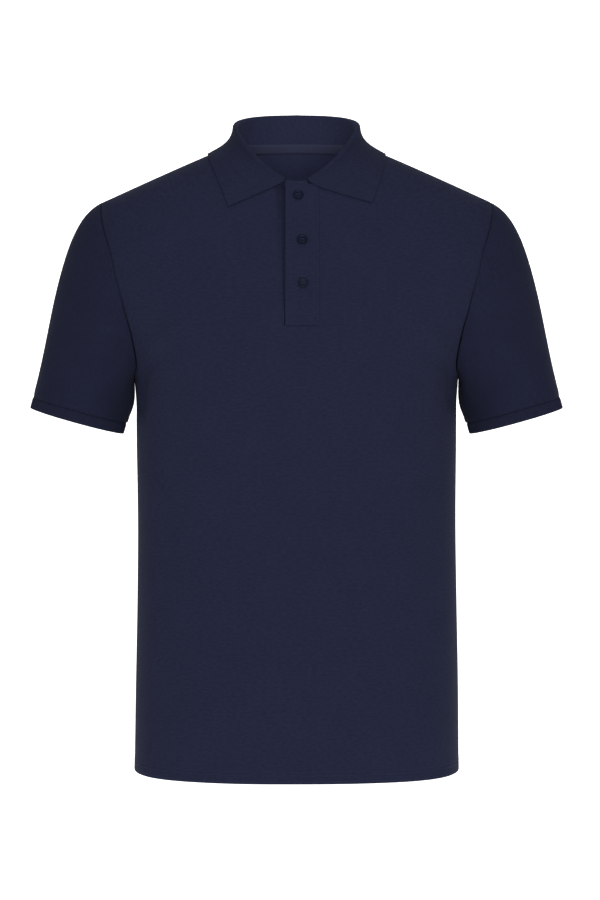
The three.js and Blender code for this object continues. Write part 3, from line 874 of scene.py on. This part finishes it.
def cuff_point(turn, up, smaller=0.0):
    """A point of the left cuff, this share of the way round and this high above its opening."""
    angle = 2 * math.pi * turn
    middle = CUFF_MIDDLE - AXIS * up
    across = middle - OUTWARDS * (math.cos(angle) * (CUFF_HALF_WIDTH - smaller))
    return across - BACKWARDS * (math.sin(angle) * (CUFF_HALF_DEPTH - smaller))


def sleeve_curve(turn):
    """From the armhole to the cuff; turn 0 is the underarm, 0.25 the front, 0.5 the shoulder."""
    is_front = turn <= 0.5
    at = 2 * turn if is_front else 2 - 2 * turn
    edge = row_curve(is_front, 1 + at).point(1)
    start = edge + Vector((0.05 + 0.5 * max(0, 1 - at / 0.2), 0, 0))
    way = read(SLEEVE, at)
    leave = Vector((way["x"], way["y"] if is_front else -way["y"], way["z"])).normalized()
    end = cuff_point(turn, CUFF_DEPTH)
    return Curve(start, start + leave * way["leave"], end - AXIS * way["reach"], end)


def sleeve_relief(turn, down, p, length):
    """Creases and unevenness of a sleeve, with its seams pulled in."""
    total = 0.0
    from_armhole, from_underarm = down * length, min(turn, 1 - turn)
    here = Vector((turn * SLEEVE_GIRTH, from_armhole))
    for turn1, down1, turn2, down2, width, height in zip(*SLEEVE_CREASES.values()):
        start = Vector((turn1 * SLEEVE_GIRTH, down1 * length))
        end = Vector((turn2 * SLEEVE_GIRTH, down2 * length))
        along, across = crease_place(here, start, end)
        if across < 3 * width:
            total += height * ridge(along, across, width)
    total += 0.4 * math.sin(p.z / 47 + turn * 9) + 0.3 * math.sin(turn * 31 + down * 3)
    if from_underarm > 0.04:
        total -= SEAM_DIP * bell(from_armhole, SEAM_DIP_WIDTH)
    # it is fuller just below the underarm and on its outer side, above the cuff
    total += 1.5 * bell(from_underarm, 0.05) * bell(from_armhole - 20, 13)
    total += 1.7 * bell(turn - 0.5, 0.1) * bell(down - 0.7, 0.22)
    total -= 0.7 * bell((1 - down) * length, 2.0)
    return total - VALLEY * valley(p.z) * bell(from_armhole, VALLEY_WIDTH)


def on_side(rows, side):
    """A ring-shaped grid as it is on the wearer's left, or mirrored on the right."""
    return rows if side > 0 else [[mirrored(p) for p in reversed(row)] for row in rows]


def make_sleeve(name, side, material, node):
    around, down = 132, 60
    turns = steps(around)
    curves = [sleeve_curve(turn % 1.0) for turn in turns]
    lengths = [(curve.point(1) - curve.point(0)).length for curve in curves]
    shares = steps(down, 1, 0)
    rows = [[curve.point(share) for curve in curves] for share in shares]
    rows = moved_out(
        rows, lambda i, j, p: sleeve_relief(turns[j] % 1.0, shares[i], p, lengths[j]), around=True
    )
    bm = sheet_mesh(on_side(rows, side), True)
    return thicken(finished(bm, name, material, (node,)), CLOTH)


def make_cuff(name, side, material, node):
    """A band of one-and-one rib."""
    ribs, fine = 116, 6
    turns = steps(ribs * fine)
    heights = [0.0, 0.5, 1.4, 4.0, 7.0, 10.0, 12.0, 12.9]
    round_in = [0.9, 0.3, 0.0, 0.0, 0.0, 0.0, 0.35, 0.9]

    def swell(j):
        return 0.42 * max(0.0, math.cos(2 * math.pi * j / fine)) ** 0.7

    rows = [
        [cuff_point(turn, up, 0.8 + inside - swell(j)) for j, turn in enumerate(turns)]
        for up, inside in zip(heights, round_in)
    ]
    bm = sheet_mesh(on_side(rows, side), True)
    return thicken(finished(bm, name, material, (node,)), KNIT)


# Collar


def out_of_neck(angle):
    return Vector((math.sin(math.radians(angle)), -math.cos(math.radians(angle)), 0))


def neckline_point(angle):
    if angle <= 90:
        return row_curve(True, 3).point(angle / 90)
    return row_curve(False, 3).point((180 - angle) / 90)


def fold_point(angle):
    out = out_of_neck(angle)
    z = read(FOLD_HEIGHT, angle)["z"]
    return Vector((out.x * FOLD_HALF_WIDTH, out.y * FOLD_HALF_DEPTH + FOLD_MIDDLE_Y, z))


def near_neck():
    """A search tree of the body's points near the neck, and their outward directions."""
    points, normals = [], []
    for is_front in (True, False):
        for station in steps(44, 1.9, 3):
            for share in steps(44):
                point, normal = raised(is_front, station, share, 0)
                points.append(point)
                normals.append(normal)
    tree = KDTree(len(points))
    for k, point in enumerate(points):
        tree.insert(point, k)
    tree.balance()
    return tree, normals


def kept_above(point, body, height):
    """A point, moved outwards where it is nearer to the body than this height."""
    tree, normals = body
    moved = point.copy()
    for _ in range(3):
        place, k, _ = tree.find(moved)
        normal = normals[k]
        above = (moved - place).dot(normal)
        if above >= height:
            break
        moved += normal * (height - above)
    return moved


def collar_section(angle, front, body, counts):
    """From the foot of the stand, over the fold and down to the leaf's edge."""
    stand_steps, roll_steps, leaf_steps = counts
    out = out_of_neck(angle)
    along = (fold_point(angle + 0.5) - fold_point(angle - 0.5)).normalized()
    outer = (out - along * out.dot(along)).normalized()
    up = along.cross(outer).normalized()
    if up.z < 0:
        up = -up
    centre = fold_point(angle) - up * FOLD_ROUND
    roll = [
        centre - outer * (math.cos(turn) * FOLD_ROUND) + up * (math.sin(turn) * FOLD_ROUND)
        for turn in steps(roll_steps, 0, math.pi)
    ]
    foot = neckline_point(angle) + Vector((0, 0, 0.1)) - out * 2.0
    stand = Curve(foot, foot + Vector((0, 0, 4)), roll[0] - up * 4, roll[0])
    if angle <= 90:
        edge = read(front, angle)
        station, share = front_place(edge["x"], edge["z"])
    else:
        edge = read(LEAF_BACK, angle)
        station, share = edge["station"], edge["share"]
    lift = panel_normal(angle <= 90, station, min(0.98, share))
    end = panel_point(angle <= 90, station, share) + lift * KNIT
    turned = roll[-1] - up * edge["drop"]
    settle = turned.lerp(end, 0.45) + lift * 1.5
    leaf = Curve(roll[-1], turned + outer * (1.5 * bell(angle - 92, 38)), settle, end)
    down = [kept_above(leaf.point(t), body, KNIT) for t in steps(leaf_steps)[1:]]
    return [stand.point(t) for t in steps(stand_steps)[:-1]] + roll + down


def sections_round(left, right=None):
    """Rows of a piece from its sections. Those on the wearer's right are given mirrored."""
    other = [[mirrored(p) for p in section] for section in (right or left)[:-1]]
    sections = other + left[::-1]
    return [[section[i] for section in sections] for i in range(len(sections[0]))]


def make_collar(material):
    counts = (7, 8, 22)
    body = near_neck()
    angles = steps(84, 10, 180)
    left = [collar_section(angle, LEAF_LEFT, body, counts) for angle in angles]
    right = [collar_section(angle, LEAF_RIGHT, body, counts) for angle in angles]
    rows = sections_round(left, right)
    last = len(rows) - 1

    def lip(i, j, p):
        """The knitted edge is a little thicker."""
        if i < counts[0] + counts[1] + 4:
            return 0.0
        near = min((p - rows[last][j]).length, (p - rows[i][0]).length, (p - rows[i][-1]).length)
        return 0.2 * bell(near, 1.7) - 0.2 * bell(near - 3.2, 0.8)

    piece = finished(sheet_mesh(moved_out(rows, lip)), "collar_knit", material, ("collar",))
    return thicken(piece, KNIT, 0.6)


# Placket, tape, buttons and sewing


def front_strip(left, right, columns, lowest, height, rows=70):
    """A strip of the front's surface between two distances across it."""
    foot = station_at(lowest)
    lines = []
    for station in steps(rows, foot, PLACKET_HEAD):
        curve = row_curve(True, station)
        line = []
        for x in steps(columns, left, right):
            share = curve.share_at(abs(x))
            point, _ = raised(True, station, share, height(x, station), side_of(x))
            line.append(point)
        lines.append(line)
    return lines


def placket_height(x, z):
    """How far the upper placket's face is above the front, at a height on its middle.

    Its free edge gapes a little towards the neck, and it goes down into the seams at its right
    side and foot.
    """
    out = PLACKET_PROUD + 1.5 * gape(z) ** 2 * max(0.0, (3 - x) / 15) ** 1.5
    near = max(0.0, min(PLACKET_SEAM - x, z - PLACKET_FOOT_Z))
    out -= (PLACKET_PROUD + PLACKET_DIP) * bell(near, PLACKET_DIP_WIDTH)
    for off in (x - PLACKET_STITCH, *(z - line for line in BOX_LINES)):
        out -= STITCH_DIP * bell(off, STITCH_DIP_WIDTH)
    return out + 0.1 * math.sin(z * 0.31) * bell(x - PLACKET_EDGE, 7)


def placket_face(x, station):
    return placket_height(x, row_curve(True, station).point(0).z)


HEAD_WAY = Vector((0, 0.43, 0.9))  # the way in which the placket's head stands up


def head_rise(x):
    """How far the placket's head stands up between the two ends of the collar."""
    return 0.5 + 5.2 * eased(limited((13.5 - x) / 3))


def under_placket(x, station):
    """The under placket sinks away beneath the free edge of the upper one."""
    z = row_curve(True, station).point(0).z
    return -1.8 - (0.7 + 4.2 * gape(z)) * limited((-4 - x) / 8)


def make_plackets(material, facing):
    top = front_strip(PLACKET_EDGE, PLACKET_SEAM, 60, PLACKET_FOOT_Z + 0.1, placket_face, 130)
    head = top[-1]
    for up in steps(6)[1:]:
        top.append([p + HEAD_WAY * (head_rise(p.x) * up) for p in head])
    upper = finished(sheet_mesh(top), "placket_upper", material, ("placket_top",))
    thicken(upper, UPPER, 0.55)
    under = front_strip(UNDER_LEFT - 4, UNDER_RIGHT, 24, PLACKET_FOOT_Z - 5, under_placket)
    # The under placket takes facing, its cloth darkened as painted shade for the shadow under the
    # upper placket's free edge
    lower = finished(sheet_mesh(under), "placket_lower", facing, ("placket_under",))
    thicken(lower, LOWER)
    return upper, lower


def tape_section(angle):
    """Up the inside of the neck, from below the collar's seam to above it."""
    out = out_of_neck(angle)
    line = neckline_point(angle)
    share = (180 - angle) / 90
    lower, _ = raised(False, 2.885, share, -2.7)
    middle = line - out * 3.3 - Vector((0, 0, 1.5))
    upper = line - out * 4.2 + Vector((0, 0, 2.2))
    curve = Curve(lower, lower.lerp(middle, 0.6), middle.lerp(upper, 0.2), upper)
    return [curve.point(t) for t in steps(6)]


def make_tape(material):
    half = [tape_section(angle) for angle in steps(40, 108, 180)]
    piece = finished(sheet_mesh(sections_round(half)), "tape", material, ("neck_tape",))
    return thicken(piece, TAPE)


HOLE_OUT = 1.55  # distance of a button's holes from its middle
HOLE_RADIUS = 0.72
THREAD_OUT = 1.1  # and of the ends of its thread, along both sides


def button_mesh():
    """A rimmed button, face up along +Z, in metres."""
    bm = bmesh.new()
    profile = ((0, 0.0), (4.9, 0.0), (5.7, 0.45), (5.9, 1.1), (5.85, 1.75), (5.5, 2.2), (5.0, 2.3),
               (4.5, 2.15), (4.0, 1.75), (3.5, 1.62), (0, 1.6))
    verts = [bm.verts.new((r * MM, 0, z * MM)) for r, z in profile]
    edges = [bm.edges.new(pair) for pair in zip(verts, verts[1:])]
    bmesh.ops.spin(
        bm, geom=verts + edges, cent=(0, 0, 0), axis=(0, 0, 1), angle=2 * math.pi, steps=48,
        use_merge=True,
    )
    bmesh.ops.remove_doubles(bm, verts=bm.verts, dist=1e-7)
    bmesh.ops.recalc_face_normals(bm, faces=bm.faces)
    return bm


def holes_mesh():
    """What is drilled out of a button: its four holes."""
    bm = bmesh.new()
    for turn in (45, 135, 225, 315):
        angle = math.radians(turn)
        place = Vector((math.cos(angle), math.sin(angle), 0)) * (HOLE_OUT * MM)
        bmesh.ops.create_cone(
            bm, cap_ends=True, segments=18, radius1=HOLE_RADIUS * MM, radius2=HOLE_RADIUS * MM,
            depth=0.008, matrix=Matrix.Translation(place + Vector((0, 0, 0.001))),
        )
    return bm


def seat_of(x, z, height):
    """A frame that stands on the placket: its Z points out of the shirt and its Y upwards."""
    place, normal = on_front(x, z, height)
    right = Vector((0, 0, 1)).cross(normal).normalized() * -1
    up = normal.cross(right)
    turn = Matrix((right, up, normal)).transposed().to_4x4()
    return Matrix.Translation(place * MM) @ turn


def make_button(name, x, z, material, sewing):
    disc, drill = object_from(button_mesh(), "disc"), object_from(holes_mesh(), "drill")
    cut = disc.modifiers.new("Holes", "BOOLEAN")
    cut.object = drill
    cut.solver = "EXACT"
    bpy.context.view_layer.update()
    drilled = disc.evaluated_get(bpy.context.evaluated_depsgraph_get())
    mesh = bpy.data.meshes.new_from_object(drilled)
    for body in (disc, drill):
        bpy.data.objects.remove(body, do_unlink=True)
    seat = seat_of(x, z, placket_height(x, z) + 0.25)
    out = seat.to_3x3() @ Vector((0, 0, 1))
    bm = bmesh.new()
    bm.from_mesh(mesh)
    bmesh.ops.transform(bm, matrix=seat, verts=bm.verts)
    smooth(bm)
    for edge in bm.edges:
        if len(edge.link_faces) == 2 and edge.calc_face_angle() > math.radians(40):
            edge.smooth = False
    piece = finished(bm, name + "_resin", material, (name,))
    bars = bmesh.new()
    for side in (-1, 1):
        for lean in (-0.22, 0.22):
            right = side * THREAD_OUT + lean
            start = seat @ (Vector((right, -THREAD_OUT, 1.75)) * MM)
            end = seat @ (Vector((right, THREAD_OUT, 1.75)) * MM)
            add_stitch(bars, start, end, out, 0.42)
    finished(bars, name + "_thread", sewing)
    return piece


def unit_stitch():
    """A small rounded bar from -1 to 1 in every direction, lengthwise along X."""
    mesh = bpy.data.meshes.get("unit stitch")
    if mesh is None:
        bm = bmesh.new()
        turn = Matrix.Rotation(math.pi / 2, 4, "Y")
        bmesh.ops.create_uvsphere(bm, u_segments=6, v_segments=5, radius=1, matrix=turn)
        smooth(bm)
        mesh = bpy.data.meshes.new("unit stitch")
        bm.to_mesh(mesh)
        bm.free()
    return mesh


def add_stitch(bm, start, end, normal, width):
    """One stitch between two points in metres, as a small rounded bar."""
    way = end - start
    along = way.normalized()
    side = normal.cross(along).normalized()
    turn = Matrix((along, side, along.cross(side))).transposed().to_4x4()
    size = Matrix.Diagonal((way.length / 2, width * MM / 2, width * MM / 2.4, 1))
    place = Matrix.Translation((start + end) / 2) @ turn @ size
    first = len(bm.verts)
    bm.from_mesh(unit_stitch())
    bm.verts.ensure_lookup_table()
    for vert in bm.verts[first:]:
        vert.co = place @ vert.co


def add_seam(bm, line, pitch=3.0, gap=0.7, width=0.5, rise=0.05):
    """Stitches along a line of (point, outward direction) in millimetres."""
    walked = [0.0]
    for (a, _), (b, _) in zip(line, line[1:]):
        walked.append(walked[-1] + (b - a).length)

    def at(distance):
        low = min(bisect_right(walked, distance) - 1, len(walked) - 2)
        share = (distance - walked[low]) / max(1e-9, walked[low + 1] - walked[low])
        return line[low][0].lerp(line[low + 1][0], share), line[low][1]

    count = max(1, int(walked[-1] / pitch))
    step = walked[-1] / count
    for k in range(count):
        a, normal = at(k * step + gap / 2)
        b, _ = at((k + 1) * step - gap / 2)
        add_stitch(bm, (a + normal * rise) * MM, (b + normal * rise) * MM, normal, width)


def placket_line(places):
    """Points on the upper placket with their outward directions."""
    return [on_front(x, z, placket_height(x, z)) for x, z in places]


def straight(x1, z1, x2, z2, count=24):
    return [(x1 + (x2 - x1) * t, z1 + (z2 - z1) * t) for t in steps(count)]


def hem_seams(bm, moved, pitch):
    normals = grid_normals(moved[: len(HEM_ROWS)], False)
    for line in HEM_LINES:
        i = HEM_ROWS.index(line)
        add_seam(bm, list(zip(moved[i], normals[i])), pitch)


def shoulder_seams(bm, moved, pitch):
    """A line of stitches a little behind each shoulder seam."""
    first = len(moved) - ROWS["shoulder"] - 1
    normals = grid_normals(moved, False)
    for side in (2, -3):
        line = [(moved[i][side], normals[i][side]) for i in range(first + 1, len(moved) - 1)]
        add_seam(bm, line, pitch)


def tape_seams(bm, pitch):
    """Two lines of stitches on the inside of the back, at the tape's lower edge and below it."""
    for station, inside in ((2.9, 2.9), (2.845, 1.6)):
        line = []
        for angle in steps(60, 112, 180):
            point, normal = raised(False, station, (180 - angle) / 90, -inside)
            line.append((point, -normal))
        other = [(mirrored(p), mirrored(n)) for p, n in line[:-1]]
        add_seam(bm, other + line[::-1], pitch)


def make_sewing(front, back, material, pitch):
    """The stitches of the hems, the shoulders, the tape and the placket, as one mesh."""
    bm = bmesh.new()
    hem_seams(bm, front, pitch)
    hem_seams(bm, back, pitch)
    shoulder_seams(bm, back, pitch)
    tape_seams(bm, pitch)
    add_seam(bm, placket_line(straight(PLACKET_STITCH, -50, PLACKET_STITCH, BOX_LINES[1])), pitch)
    across = [(-1, 23.4, HEAD_LINE)] + [(PLACKET_EDGE + 1, PLACKET_STITCH, z) for z in BOX_LINES]
    for left, right, z in across:
        add_seam(bm, placket_line(straight(left, z, right, z, 10)), pitch)
    return finished(bm, "sewing", material)


def make_buttonholes(material):
    """Upright buttonholes edged with close stitches."""
    bm = bmesh.new()
    for _, x, z in BUTTONS:
        for side in (-0.95, 0.95):
            for up in steps(24, -7.6, 7.6):
                seat = seat_of(x + side, z + up, placket_height(x + side, z + up))
                start, end = seat @ Vector((-0.6 * MM, 0, 0)), seat @ Vector((0.6 * MM, 0, 0))
                add_stitch(bm, start, end, seat.to_3x3() @ Vector((0, 0, 1)), 0.5)
    return finished(bm, "buttonholes", material)


# Stage


def make_stage(settings):
    """A floor that sweeps up into a backdrop."""
    depth, height, turn = 3.0, 4.5, 1.0
    low = settings.floor_height
    profile = [(-0.5, low), (depth - turn, low)]
    for angle in steps(10, 0, math.pi / 2)[1:]:
        profile.append((depth - turn + turn * math.sin(angle), low + turn * (1 - math.cos(angle))))
    profile.append((depth, low + height))
    bm = bmesh.new()
    verts = [bm.verts.new((-2.5, y, z)) for y, z in profile]
    edges = [bm.edges.new(pair) for pair in zip(verts, verts[1:])]
    made = bmesh.ops.extrude_edge_only(bm, edges=edges)
    moved = [one for one in made["geom"] if isinstance(one, bmesh.types.BMVert)]
    bmesh.ops.translate(bm, verts=moved, vec=(5.0, 0, 0))
    smooth(bm)
    for face in bm.faces:
        if face.normal.dot(Vector((0, -1, 1))) < 0:
            face.normal_flip()
    backdrop = object_from(bm, "backdrop")
    backdrop.data.materials.append(stage_paper("Backdrop paper", settings.glow))


def aimed(thing, place, target):
    thing.location = place
    thing.rotation_euler = (Vector(target) - Vector(place)).to_track_quat("-Z", "Y").to_euler()


def add_light(name, place, target, size, power):
    data = bpy.data.lights.new(name, "AREA")
    data.shape = "RECTANGLE"
    data.size, data.size_y = size
    data.energy = power
    aimed(linked(name, data), place, target)


def light_stage(settings):
    middle = (0, 0, -0.35)
    for name, place, target, size, power in (
        ("Front softbox", (0.2, -3.9, 0.1), middle, (1.6, 1.6), 80),
        ("Left softbox", (-2.6, -1.6, 0.3), middle, (1.4, 2.2), 3),
        ("Right softbox", (2.6, -1.6, 0.3), middle, (1.4, 2.2), 3),
        ("Top softbox", (0, -0.6, 2.4), middle, (2.0, 1.4), 10),
        ("Neck fill", (0, -0.042, -0.004), (0, 0.08, -0.04), (0.06, 0.02), 0.04),
    ):
        add_light(name, place, target, size, power * settings.light)
    bpy.context.scene.view_settings.view_transform = "Standard"
    world = bpy.data.worlds.new("Studio")
    world.use_nodes = True
    back = world.node_tree.nodes["Background"]
    back.inputs["Color"].default_value = (1, 1, 1, 1)
    back.inputs["Strength"].default_value = settings.ambient
    bpy.context.scene.world = world


def place_camera():
    """A long lens straight in front, from slightly above."""
    aim, distance, lift = Vector((0.0039, 0, -0.34)), 3.4, math.radians(3)
    data = bpy.data.cameras.new("Camera")
    data.lens = 120.9
    data.sensor_width = 36
    camera = linked("Camera", data)
    aimed(camera, aim + Vector((0, -math.cos(lift), math.sin(lift))) * distance, aim)
    bpy.context.scene.camera = camera


# Add-on


def colour_setting(name, description, *default):
    return bpy.props.FloatVectorProperty(
        name=name, description=description, subtype="COLOR", size=3, default=default, min=0, max=1,
    )


class ShirtSettings(bpy.types.PropertyGroup):
    """How the shirt is made up."""

    body_colour: colour_setting("Body", "Colour of the body and sleeves", 0.02, 0.0232, 0.0515)
    # Painted shade: the sleeves take a darker copy of the body's colour to stand in for the shade
    # on them, as they face aside from the lamps; their cloth is the same as the body's
    sleeve_painted_shade: bpy.props.FloatProperty(
        name="Sleeves", description="Brightness of the sleeves beside the body, by their grain",
        default=0.84, min=0, max=2,
    )
    knit_colour: colour_setting(
        "Collar and cuffs", "Colour of the ribbed parts", 0.0196, 0.0226, 0.049
    )
    tape_colour: colour_setting(
        "Neck tape", "Colour of the tape inside the neck", 0.031, 0.0342, 0.0655
    )
    button_colour: colour_setting("Buttons", "Colour of the buttons", 0.008, 0.01, 0.026)
    stitch: bpy.props.FloatProperty(
        name="Stitch", description="Length of a stitch", default=0.003, min=0.002, max=0.006,
        unit="LENGTH",
    )


class StageSettings(bpy.types.PropertyGroup):
    """How the shirt is shown."""

    floor_height: bpy.props.FloatProperty(
        name="Floor", description="Height of the floor", default=-1.3, min=-3, max=-0.8,
        unit="LENGTH",
    )
    light: bpy.props.FloatProperty(
        name="Lamps", description="Strength of the lamps", default=1.0, min=0, max=10,
    )
    ambient: bpy.props.FloatProperty(
        name="Ambient", description="Strength of the light from all round", default=0.25, min=0,
        max=10,
    )
    glow: bpy.props.FloatProperty(
        name="Backdrop glow", description="Light given off by the backdrop", default=0.95, min=0,
        max=10,
    )


MADE = {}  # the grids of points of the front and back, for the sewing
# How bright some parts are beside the colour that they share: the cuffs and both threads beside
# the collar's, and the under placket beside the body's
# Painted shade: the cuffs are darkened like the sleeves, for the shade on them
CUFF_PAINTED_SHADE = 0.86
SEWING_SHADE = 1.12
BUTTON_THREAD_SHADE = 2.2
# Painted shade: the under placket is darkened to stand in for the shadow in the gap beside the
# upper placket's free edge
FACING_PAINTED_SHADE = 0.8


class SHIRT_OT_body(bpy.types.Operator):
    """Make the front and back panels"""

    bl_idname = "shirt.body"
    bl_label = "Body"

    def execute(self, context):
        cloth = once("Navy pique", pique, context.scene.shirt.body_colour)
        front, MADE["front"] = make_front(cloth)
        back, MADE["back"] = make_back(cloth)
        return {"FINISHED"}


class SHIRT_OT_sleeves(bpy.types.Operator):
    """Make both sleeves with their ribbed cuffs"""

    bl_idname = "shirt.sleeves"
    bl_label = "Sleeves"

    def execute(self, context):
        settings = context.scene.shirt
        # Painted shade: the sleeves' cloth is the body's colour darkened for the shade that falls
        # on them
        colour = shaded(settings.body_colour, settings.sleeve_painted_shade)
        cloth = once("Navy pique, sleeves", pique, colour)
        # Painted shade: the cuffs' knit is the collar's colour darkened, like the sleeves'
        knit = once("Navy flat knit, cuffs", flat_knit, shaded(settings.knit_colour, CUFF_PAINTED_SHADE))
        for side, name in ((1, "left"), (-1, "right")):
            sleeve = make_sleeve("sleeve_cloth_" + name, side, cloth, "sleeve_" + name)
            cuff = make_cuff("cuff_knit_" + name, side, knit, "cuff_" + name)
        return {"FINISHED"}


class SHIRT_OT_collar(bpy.types.Operator):
    """Make the collar and the tape inside the neck"""

    bl_idname = "shirt.collar"
    bl_label = "Collar"

    def execute(self, context):
        settings = context.scene.shirt
        collar = make_collar(once("Navy flat knit", flat_knit, settings.knit_colour))
        tape = make_tape(once("Neck tape", herringbone, settings.tape_colour))
        return {"FINISHED"}


class SHIRT_OT_placket(bpy.types.Operator):
    """Make the two layers of the placket"""

    bl_idname = "shirt.placket"
    bl_label = "Placket"

    def execute(self, context):
        cloth = once("Navy pique", pique, context.scene.shirt.body_colour)
        # Painted shade: the under placket's cloth is darkened for the shadow in the gap beside the
        # free edge
        dark = shaded(context.scene.shirt.body_colour, FACING_PAINTED_SHADE)
        upper, lower = make_plackets(cloth, once("Placket facing", pique, dark))
        return {"FINISHED"}


class SHIRT_OT_buttons(bpy.types.Operator):
    """Make the three buttons, their thread and their buttonholes"""

    bl_idname = "shirt.buttons"
    bl_label = "Buttons"

    def execute(self, context):
        settings = context.scene.shirt
        resin = once("Button resin", moulded, settings.button_colour)
        sewing = once("Navy thread", thread, shaded(settings.knit_colour, SEWING_SHADE))
        colour = shaded(settings.knit_colour, BUTTON_THREAD_SHADE)
        bright = once("Button thread", thread, colour)
        for name, x, z in BUTTONS:
            make_button(name, x, z, resin, bright)
        make_buttonholes(sewing)
        return {"FINISHED"}


class SHIRT_OT_sewing(bpy.types.Operator):
    """Sew the hems, the shoulders and the placket"""

    bl_idname = "shirt.sewing"
    bl_label = "Sewing"

    def execute(self, context):
        settings = context.scene.shirt
        sewing = once("Navy thread", thread, shaded(settings.knit_colour, SEWING_SHADE))
        make_sewing(MADE["front"], MADE["back"], sewing, settings.stitch / MM)
        return {"FINISHED"}


class SHIRT_OT_stage(bpy.types.Operator):
    """Make the backdrop, the lamps and the camera"""

    bl_idname = "shirt.stage"
    bl_label = "Stage"

    def execute(self, context):
        settings = context.scene.shirt_stage
        make_stage(settings)
        light_stage(settings)
        place_camera()
        return {"FINISHED"}


class SHIRT_PT_panel(bpy.types.Panel):
    """The shirt's settings, with a button for each step"""

    bl_idname = "SHIRT_PT_panel"
    bl_label = "Polo shirt"
    bl_space_type = "VIEW_3D"
    bl_region_type = "UI"
    bl_category = "Polo shirt"

    def draw(self, context):
        for settings in (context.scene.shirt, context.scene.shirt_stage):
            for name in type(settings).__annotations__:
                self.layout.prop(settings, name)
        for operator in OPERATORS:
            self.layout.operator(operator.bl_idname)


OPERATORS = (
    SHIRT_OT_body,
    SHIRT_OT_sleeves,
    SHIRT_OT_collar,
    SHIRT_OT_placket,
    SHIRT_OT_buttons,
    SHIRT_OT_sewing,
    SHIRT_OT_stage,
)
CLASSES = (ShirtSettings, StageSettings, *OPERATORS, SHIRT_PT_panel)


def register():
    for one in CLASSES:
        bpy.utils.register_class(one)
    bpy.types.Scene.shirt = bpy.props.PointerProperty(type=ShirtSettings)
    bpy.types.Scene.shirt_stage = bpy.props.PointerProperty(type=StageSettings)


def unregister():
    del bpy.types.Scene.shirt_stage
    del bpy.types.Scene.shirt
    for one in reversed(CLASSES):
        bpy.utils.unregister_class(one)


def main():
    register()
    bpy.ops.shirt.body()
    bpy.ops.shirt.sleeves()
    bpy.ops.shirt.collar()
    bpy.ops.shirt.placket()
    bpy.ops.shirt.buttons()
    bpy.ops.shirt.sewing()
    bpy.ops.shirt.stage()


if __name__ == "__main__":
    main()
